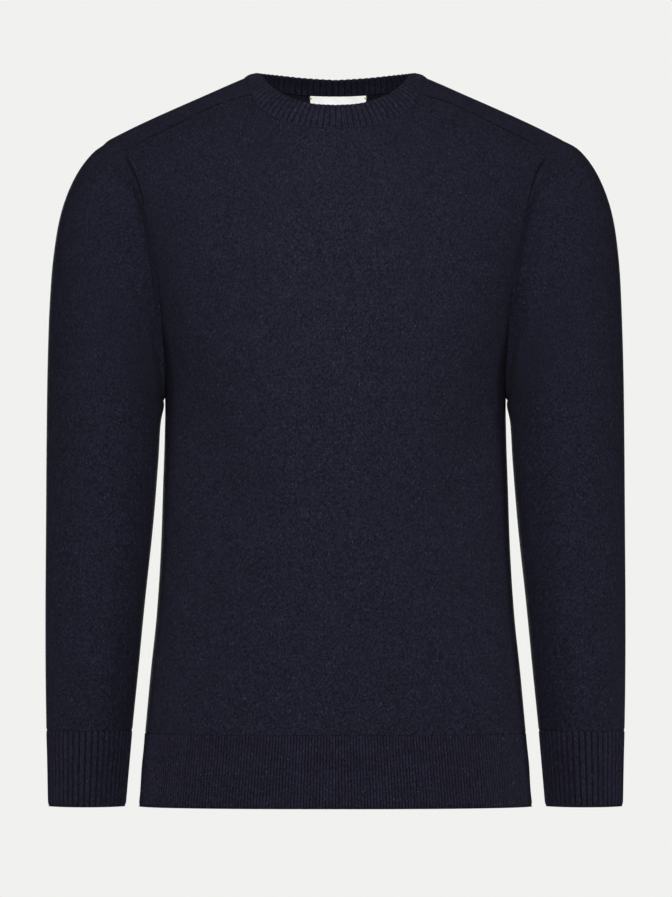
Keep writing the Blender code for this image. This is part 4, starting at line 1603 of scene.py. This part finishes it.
class Field:
    """A number that varies over a surface; arithmetic on it adds Math nodes."""

    def __init__(self, bench: "Bench", socket: bpy.types.NodeSocket) -> None:
        """Wraps a socket that gives a number."""
        self.bench = bench
        self.socket = socket

    def math(self, operation: str, *others: "Field | float", flipped: bool = False) -> "Field":
        """Adds a Math node.

        Args:
            operation: The node's operation.
            others: Its further values.
            flipped: Whether this field comes last.

        Returns:
            The result.
        """
        values = [*others, self] if flipped else [self, *others]
        made = self.bench.node("ShaderNodeMath", {"operation": operation}, dict(enumerate(values)))
        return Field(self.bench, made.outputs[0])

    def __add__(self, other: "Field | float") -> "Field":
        """The sum."""
        return self.math("ADD", other)

    def __radd__(self, other: float) -> "Field":
        """The sum."""
        return self.math("ADD", other)

    def __sub__(self, other: "Field | float") -> "Field":
        """The difference."""
        return self.math("SUBTRACT", other)

    def __rsub__(self, other: float) -> "Field":
        """The difference, the other way."""
        return self.math("SUBTRACT", other, flipped=True)

    def __mul__(self, other: "Field | float") -> "Field":
        """The product."""
        return self.math("MULTIPLY", other)

    def __rmul__(self, other: float) -> "Field":
        """The product."""
        return self.math("MULTIPLY", other)

    def __truediv__(self, other: "Field | float") -> "Field":
        """The quotient."""
        return self.math("DIVIDE", other)

    def __pow__(self, other: "Field | float") -> "Field":
        """The power."""
        return self.math("POWER", other)

    def __abs__(self) -> "Field":
        """The size without its sign."""
        return self.math("ABSOLUTE")

    def floor(self) -> "Field":
        """The whole number below."""
        return self.math("FLOOR")

    def fraction(self) -> "Field":
        """What is left above the whole number below."""
        return self.math("FRACT")

    def cosine(self) -> "Field":
        """The cosine of an angle in radians."""
        return self.math("COSINE")

    def eased(self, low: float, high: float) -> "Field":
        """Rises smoothly from 0 at low to 1 at high."""
        inputs = {"Value": self, "From Min": low, "From Max": high, "To Min": 0.0, "To Max": 1.0}
        made = self.bench.node("ShaderNodeMapRange", {"interpolation_type": "SMOOTHSTEP"}, inputs)
        return Field(self.bench, made.outputs[0])


class Bench:
    """The node tree of one material, with its shader."""

    def __init__(self, name: str) -> None:
        """Starts a material of that name."""
        self.material = bpy.data.materials.new(name)
        self.material.use_nodes = True
        self.tree = self.material.node_tree
        self.shader = self.tree.nodes["Principled BSDF"]

    def node(self, kind: str, settings: dict[str, object], inputs: dict[str | int, object]) -> bpy.types.Node:
        """Adds a node.

        Args:
            kind: The node's type.
            settings: Its properties, set first.
            inputs: Values, fields or sockets for its inputs, by name or number.

        Returns:
            The node.
        """
        made = self.tree.nodes.new(kind)
        for name, value in settings.items():
            setattr(made, name, value)
        for key, value in inputs.items():
            self.feed(made.inputs[key], value)
        return made

    def feed(self, socket: bpy.types.NodeSocket, value: object) -> None:
        """Links a field or a socket to an input, or sets the input's value.

        Args:
            socket: The input.
            value: The field, the socket or the value.
        """
        if isinstance(value, Field):
            value = value.socket
        if isinstance(value, bpy.types.NodeSocket):
            self.tree.links.new(value, socket)
        else:
            socket.default_value = value

    def layer(self, name: str) -> tuple[Field, Field]:
        """The two numbers of a piece's layer."""
        uv = self.node("ShaderNodeUVMap", {"uv_map": name}, {})
        parts = self.node("ShaderNodeSeparateXYZ", {}, {0: uv.outputs[0]})
        return Field(self, parts.outputs[0]), Field(self, parts.outputs[1])

    def vector(self, x: Field | float, y: Field | float, z: Field | float = 0.0) -> bpy.types.NodeSocket:
        """A vector of three numbers."""
        return self.node("ShaderNodeCombineXYZ", {}, {0: x, 1: y, 2: z}).outputs[0]

    def body_place(self) -> bpy.types.NodeSocket:
        """The point on the object, in metres."""
        return self.node("ShaderNodeTexCoord", {}, {}).outputs["Object"]

    def noise(
        self,
        where: bpy.types.NodeSocket,
        scale: float,
        detail: float = 2.0,
        rough: float = 0.55,
        bend: float = 0.0,
    ) -> Field:
        """Smooth noise from 0 to 1.

        Args:
            where: The coordinates.
            scale: How many waves fit in one unit.
            detail: How many finer layers it has.
            rough: How strong those are.
            bend: How much it distorts itself.

        Returns:
            The noise.
        """
        inputs = {"Vector": where, "Scale": scale, "Detail": detail, "Roughness": rough, "Distortion": bend}
        return Field(self, self.node("ShaderNodeTexNoise", {}, inputs).outputs[0])

    def scatter(self, where: bpy.types.NodeSocket) -> Field:
        """A random number for each whole place."""
        return Field(self, self.node("ShaderNodeTexWhiteNoise", {}, {"Vector": where}).outputs[0])

    def blend(self, factor: Field | float, first: object, second: object) -> bpy.types.NodeSocket:
        """Mixes two colours."""
        made = self.node("ShaderNodeMix", {"data_type": "RGBA"}, {0: factor, 6: first, 7: second})
        return made.outputs[2]

    def dim(self, colour: object, factor: Field) -> bpy.types.NodeSocket:
        """A colour made darker or lighter by a number."""
        start = tuple(colour)[:3] if isinstance(colour, tuple) else colour
        made = self.node("ShaderNodeVectorMath", {"operation": "SCALE"}, {0: start, "Scale": factor})
        return made.outputs[0]

    def bump(self, height: Field, strength: float, distance: float) -> None:
        """Feeds a height to the shader's normal."""
        inputs = {"Height": height, "Strength": strength, "Distance": distance}
        self.feed(self.shader.inputs["Normal"], self.node("ShaderNodeBump", {}, inputs).outputs[0])

    def settle(self, values: dict[str, object]) -> bpy.types.Material:
        """Sets the shader's own sockets and gives the material."""
        for name, value in values.items():
            self.feed(self.shader.inputs[name], value)
        return self.material


class Finish:
    """A finish that gives a material."""

    def material(self) -> bpy.types.Material:
        """The material, made once."""
        raise NotImplementedError


@dataclass(frozen=True)
class Lambswool:
    """What all the sweater's knits share: melange yarn with a short milled nap."""

    dark: Colour = (0.0029, 0.0028, 0.0053, 1.0)
    light: Colour = (0.0145, 0.0141, 0.0272, 1.0)
    stray: Colour = (0.055, 0.053, 0.062, 1.0)
    mottle: float = 1.0
    wale: float = 1.588
    course: float = 1.2
    slant: float = 0.8
    swell: float = 0.5
    swell_scales: Span = (0.45, 0.6)
    leg_edge: Span = (0.62, 1.0)
    edge_depth: float = 0.85
    leg_middle: Span = (0.0, 0.3)
    middle_depth: float = 0.35
    strand_power: float = 0.6
    stretch: float = 1.3
    fleck_scale: float = 1.6
    fleck_tone: float = 1.6
    stitch_tone: float = 0.9
    nap_scale: float = 2.4
    nap_light: float = 0.4
    cloud_scale: float = 0.045
    cloud_tone: float = 0.2
    middle_tone: float = 0.42
    tones: Span = (-0.15, 1.15)
    fibre_scale: float = 0.62
    fibre_width: float = 0.03
    fibre_light: float = 0.5
    patch_scale: float = 0.33
    patches: Span = (0.56, 0.66)
    specks: Span = (0.994, 0.996)
    speck_light: float = 0.4
    low_light: float = 0.62
    yarn_light: float = 0.5

    def stitches(self, bench: Bench, across_mm: Field, up_mm: Field) -> tuple[Field, Field]:
        """The face of plain knitting.

        Args:
            bench: The material's nodes.
            across_mm: Millimetres across the wales.
            up_mm: Millimetres up the courses.

        Returns:
            The height of the yarn from 0 to 1, and a random number for each stitch.
        """
        where = bench.vector(across_mm, up_mm)
        wide, high = self.swell_scales
        x = (across_mm + (bench.noise(where, wide, 1.0) - 0.5) * self.swell) / self.wale
        y = (up_mm + (bench.noise(where, high, 1.0) - 0.5) * self.swell) / self.course
        leg = abs(x.fraction() - 0.5) * 2.0
        phase = y - leg * self.slant
        strand = 1.0 - abs(phase.fraction() - 0.5) * 2.0
        between = leg.eased(*self.leg_edge) * self.edge_depth
        groove = between + (1.0 - leg.eased(*self.leg_middle)) * self.middle_depth
        height = (strand**self.strand_power) * (1.0 - groove)
        return height, bench.scatter(bench.vector((x * 2.0).floor(), phase.floor()))

    def yarn(
        self, bench: Bench, where: bpy.types.NodeSocket, stitch: Field, height: Field
    ) -> tuple[bpy.types.NodeSocket, Field]:
        """The colour of the melange, painted darker where the yarn and its nap lie low, and the height of its
        nap.

        Args:
            bench: The material's nodes.
            where: Coordinates in millimetres.
            stitch: A random number for each stitch.
            height: The yarn's height.

        Returns:
            The colour, and the nap from 0 to 1.
        """
        flecks = bench.noise(where, self.fleck_scale, 3.0, 0.7)
        nap = bench.noise(where, self.nap_scale, 3.0, 0.7, 1.2)
        cloudy = bench.noise(where, self.cloud_scale)
        melange = ((flecks - 0.5) * self.fleck_tone + (stitch - 0.5) * self.stitch_tone) * self.mottle
        mixed = melange + (cloudy - 0.5) * self.cloud_tone + self.middle_tone
        colour = bench.blend(mixed.eased(*self.tones), self.dark, self.light)
        wavy = bench.noise(where, self.fibre_scale, 1.0, 0.5, 2.2)
        line = 1.0 - abs(wavy - 0.5).eased(0.0, self.fibre_width)
        sparse = bench.noise(where, self.patch_scale, 1.0).eased(*self.patches)
        speck = stitch.eased(*self.specks)
        colour = bench.blend(line * sparse * self.fibre_light + speck * self.speck_light, colour, self.stray)
        # Painted shade: yarn and nap that lie lower are darker
        lit = self.low_light + height * self.yarn_light + (nap - 0.5) * self.nap_light
        return bench.dim(colour, lit), nap


@dataclass(frozen=True)
class Jersey(Finish):
    """Plain knitting with its stitches softened by the nap."""

    wool: Lambswool = Lambswool()
    row_rise: Span = (0.0, 1.1)
    row_fall: Span = (2.0, 3.1)
    row_light: float = 0.16
    yarn_relief: float = 0.55
    nap_relief: float = 0.75
    bump: float = 0.75
    bump_height: float = 0.0005

    def material(self) -> bpy.types.Material:
        """The jersey's material."""
        bench = Bench("lambswool_jersey")
        u, v = bench.layer("knit")
        height, stitch = self.wool.stitches(bench, u, v)
        colour, nap = self.wool.yarn(bench, bench.vector(u, v * self.wool.stretch), stitch, height)
        # Painted shade: the seam layer darkens the yarn along the seams' grooves
        shade, _ = bench.layer("seam")
        first_row = v.eased(*self.row_rise) * (1.0 - v.eased(*self.row_fall))
        colour = bench.dim(colour, (1.0 + first_row * self.row_light * (stitch + 0.3)) * (1.0 - shade))
        bench.bump(height * self.yarn_relief + nap * self.nap_relief, self.bump, self.bump_height)
        return bench.settle({"Base Color": colour, **WOOL_SHADER})


@dataclass(frozen=True)
class Rib(Finish):
    """Rib knitting: raised wales, with painted shade darkening the furrows."""

    name: str
    pitch: float
    wales: int
    wool: Lambswool = Lambswool(mottle=0.6)
    shaded: Span = (0.4, 1.0)
    furrow_shade: float = 0.48
    split_shade: float = 0.26
    light: float = 1.16
    wale_light: float = 0.06
    layer: float = 3.0
    yarn_relief: float = 0.5
    nap_relief: float = 0.6
    bump: float = 0.7
    bump_height: float = 0.00045

    def material(self) -> bpy.types.Material:
        """The rib's material."""
        bench = Bench(self.name)
        count, v = bench.layer("rib")
        across_mm = count * self.pitch
        face = (count - 0.5) * self.pitch
        if self.wales == 1:
            face = face + self.wool.wale / 2
        height, stitch = self.wool.stitches(bench, face, v)
        where = bench.vector(across_mm, v * self.wool.stretch, self.layer)
        colour, nap = self.wool.yarn(bench, where, stitch, height)
        # Painted shade: the furrows, and in two-by-two rib the splits between paired wales, are darker
        furrow = 0.5 + 0.5 * (count * (2 * np.pi)).cosine()
        depth = self.furrow_shade * furrow.eased(*self.shaded)
        if self.wales == 2:
            split = 0.5 + 0.5 * (count * (4 * np.pi)).cosine()
            depth = depth + self.split_shade * split.eased(*self.shaded)
        colour = bench.dim(colour, self.light + self.wale_light * self.wales - depth)
        bench.bump(height * self.yarn_relief + nap * self.nap_relief, self.bump, self.bump_height)
        return bench.settle({"Base Color": colour, **WOOL_SHADER})


@dataclass(frozen=True)
class WovenTape(Finish):
    """A plain white woven tape, painted lighter where its threads rise, with a painted glow."""

    warp: float = 0.42
    weft: float = 0.5
    colour: Colour = (0.97, 0.97, 0.94, 1.0)
    # Painted light: the tape glows a little though it is no lamp
    glow: float = 0.1
    low_light: float = 0.9
    thread_light: float = 0.07
    slub_light: float = 0.06
    slub_stretch: float = 0.3
    slub_scale: float = 1.5

    def material(self) -> bpy.types.Material:
        """The tape's material."""
        bench = Bench("woven_tape")
        u, v = bench.layer("weave")
        x, y = u / self.warp, v / self.weft
        over = ((x.floor() + y.floor()) * 0.5).fraction() * 2.0
        warp = 0.5 - 0.5 * (x * (2 * np.pi)).cosine()
        weft = 0.5 - 0.5 * (y * (2 * np.pi)).cosine()
        height = over * warp + (1.0 - over) * weft
        slub = bench.noise(bench.vector(u * self.slub_stretch, v), self.slub_scale)
        # Painted shade: threads are lighter where they rise over a crossing
        shade = self.low_light + height * self.thread_light + (slub - 0.5) * self.slub_light
        colour = bench.dim(self.colour, shade)
        bench.bump(height, 0.4, 0.0001)
        # Painted light: emission makes the tape glow
        glow = {"Emission Color": colour, "Emission Strength": self.glow}
        return bench.settle({"Base Color": colour, "Roughness": 0.7, "Sheen Weight": 0.1, **glow})


@dataclass(frozen=True)
class Thread(Finish):
    """A twisted thread."""

    name: str
    colour: Colour
    roughness: float = 0.8
    twists: float = 2200.0
    low_light: float = 0.75
    twist_light: float = 0.5

    def material(self) -> bpy.types.Material:
        """The thread's material."""
        bench = Bench(self.name)
        twist = bench.noise(bench.body_place(), self.twists)
        colour = bench.dim(self.colour, self.low_light + twist * self.twist_light)
        bench.bump(twist, 0.4, 0.0001)
        return bench.settle({"Base Color": colour, "Roughness": self.roughness, "Specular IOR Level": 0.1})


@dataclass(frozen=True)
class Floor(Finish):
    """A pale matt floor."""

    colour: Colour = (0.5, 0.5, 0.495, 1.0)
    glow: float = 0.6
    grain_scale: float = 3.0
    low_light: float = 0.99
    grain_light: float = 0.02

    def material(self) -> bpy.types.Material:
        """The floor's material."""
        bench = Bench("pale_floor")
        grain = bench.noise(bench.body_place(), self.grain_scale)
        colour = bench.dim(self.colour, self.low_light + grain * self.grain_light)
        glow = {"Emission Color": colour, "Emission Strength": self.glow}
        return bench.settle({"Base Color": colour, "Roughness": 0.9, **glow})


WOOL_SHADER: dict[str, object] = {
    "Roughness": 0.95,
    "Metallic": 0.0,
    "Specular IOR Level": 0.035,
    "Sheen Weight": 0.012,
    "Sheen Roughness": 0.5,
    "Sheen Tint": (0.55, 0.56, 0.75, 1.0),
}


def face_outwards(mesh: bpy.types.Mesh) -> None:
    """Turns the faces of a closed mesh round where they face in.

    Args:
        mesh: The mesh.
    """
    mesh.calc_loop_triangles()
    points = np.empty(len(mesh.vertices) * 3)
    mesh.vertices.foreach_get("co", points)
    corners = np.empty(len(mesh.loop_triangles) * 3, dtype=np.int32)
    mesh.loop_triangles.foreach_get("vertices", corners)
    first, second, third = points.reshape(-1, 3)[corners.reshape(-1, 3)].transpose(1, 0, 2)
    if np.einsum("ij,ij->", first, np.cross(second, third)) < 0:
        mesh.flip_normals()


def dress(piece: bpy.types.Object, finish: Finish, node: str | None) -> None:
    """Gives a piece its finish and its body, and hides the node that it stands for.

    Args:
        piece: The piece.
        finish: Its finish.
        node: The node that it replaces, if any.
    """
    face_outwards(piece.data)
    made = MATERIALS.get(finish)
    if made is None:
        made = MATERIALS[finish] = finish.material()
    piece.data.materials.append(made)
    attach(piece, BODY)
    if node is not None:
        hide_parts(node)
    LOG.info("%s: %d faces", piece.name, len(piece.data.polygons))


MATERIALS: dict[Finish, bpy.types.Material] = {}


# Studio


@dataclass(frozen=True)
class Softbox:
    """A soft lamp that faces the sweater."""

    place: Point
    power: float
    width: float
    height: float
    low: float = 0.0
    spread: float = 180.0

    def build(self, name: str, centre: Vector) -> None:
        """Hangs the lamp.

        Args:
            name: The lamp's name.
            centre: The sweater's middle. The lamp faces it, or a point so far below it.
        """
        aim = centre - Vector((0.0, 0.0, self.low))
        lamp = bpy.data.lights.new(name, "AREA")
        lamp.shape = "RECTANGLE"
        lamp.spread = np.radians(self.spread)
        lamp.energy, lamp.size, lamp.size_y = self.power, self.width, self.height
        held = bpy.data.objects.new(name, lamp)
        held.location = self.place
        held.rotation_euler = (aim - Vector(self.place)).to_track_quat("-Z", "Y").to_euler()
        held.visible_camera = False
        bpy.context.scene.collection.objects.link(held)


@dataclass(frozen=True)
class Studio:
    """The camera, the lamps, the backdrop's light and the floor, in metres."""

    aim: Point = (0.0005, 0.0, -0.3519)
    distance: float = 9.5
    frame_height: float = 0.8566
    sensor: float = 36.0
    floor_height: float = -0.98
    floor_reach: float = 2.4
    backdrop: Colour = (0.879, 0.879, 0.863, 1.0)
    fill: float = 0.03
    lamps: tuple[tuple[str, Softbox], ...] = (
        ("front", Softbox((0.0, -1.45, 0.1), 18.0, 0.6, 0.4)),
        ("collar", Softbox((0.0, -1.0, 0.15), 7.0, 0.3, 0.25)),
        ("top", Softbox((0.0, -0.9, 3.0), 62.0, 1.6, 1.0)),
        ("side_left", Softbox((-3.0, -1.0, -0.85), 3.2, 0.8, 0.2, 0.42, 42.0)),
        ("side_right", Softbox((3.0, -1.0, -0.85), 3.9, 0.8, 0.2, 0.42, 42.0)),
        ("back_left", Softbox((-1.2, 5.2, 0.0), 240.0, 1.2, 1.2)),
        ("back_right", Softbox((0.9, 5.2, 0.0), 200.0, 1.2, 1.2)),
    )

    def build(self) -> None:
        """Sets everything up."""
        scene = bpy.context.scene
        scene.view_settings.view_transform = "Standard"
        scene.view_settings.look = "None"
        lens = bpy.data.cameras.new("camera")
        lens.sensor_fit = "AUTO"
        lens.sensor_width = self.sensor
        lens.lens = self.sensor * self.distance / self.frame_height
        lens.clip_end = 100.0
        camera = bpy.data.objects.new("camera", lens)
        camera.location = (self.aim[0], -self.distance, self.aim[2])
        camera.rotation_euler = (QUARTER, 0.0, 0.0)
        scene.collection.objects.link(camera)
        scene.camera = camera
        for name, lamp in self.lamps:
            lamp.build(name, Vector(self.aim))
        self.light_backdrop()
        self.lay_floor()

    def light_backdrop(self) -> None:
        """A backdrop that the camera sees pale and that lights the sweater softly."""
        world = bpy.data.worlds.new("studio")
        world.use_nodes = True
        bpy.context.scene.world = world
        nodes, links = world.node_tree.nodes, world.node_tree.links
        seen = nodes["Background"]
        seen.inputs["Color"].default_value = self.backdrop
        lit = nodes.new("ShaderNodeBackground")
        lit.inputs["Color"].default_value = (1.0, 1.0, 1.0, 1.0)
        lit.inputs["Strength"].default_value = self.fill
        path = nodes.new("ShaderNodeLightPath")
        mix = nodes.new("ShaderNodeMixShader")
        links.new(path.outputs["Is Camera Ray"], mix.inputs[0])
        links.new(lit.outputs[0], mix.inputs[1])
        links.new(seen.outputs[0], mix.inputs[2])
        links.new(mix.outputs[0], nodes["World Output"].inputs["Surface"])

    def lay_floor(self) -> None:
        """A wide pale floor below the sweater."""
        signs = [(-1, -1), (1, -1), (1, 1), (-1, 1)]
        corners = [(x * self.floor_reach, y * self.floor_reach, self.floor_height) for x, y in signs]
        mesh = bpy.data.meshes.new("floor")
        mesh.from_pydata(corners, [], [(0, 1, 2, 3)])
        floor = bpy.data.objects.new("floor", mesh)
        floor.data.materials.append(Floor().material())
        bpy.context.scene.collection.objects.link(floor)


def main() -> None:
    """Builds the sweater and the studio in order."""
    logging.basicConfig(level=logging.INFO, format="%(name)s %(message)s")
    Studio().build()
    jersey = Jersey()
    narrow = Rib("one_by_one_rib", pitch=3.0, wales=1)
    wide = Rib("two_by_two_rib", pitch=5.0, wales=2)
    panels = Panels()
    panels.build(jersey)
    seams = panels.seams
    form = SleeveForm(*panels.armhole())
    form.build(seams["armhole_left"], jersey)
    HemBands().build(seams, narrow)
    Cuffs().build(form, wide)
    Neckband(*panels.neck()).build(wide)
    NeckLinking().build(seams["neck"], Thread("linking_yarn", (0.012, 0.012, 0.02, 1.0)))
    Label(panels.grid).build(WovenTape(), Thread("tack_thread", (0.30, 0.24, 0.09, 1.0)))


if __name__ == "__main__":
    main()
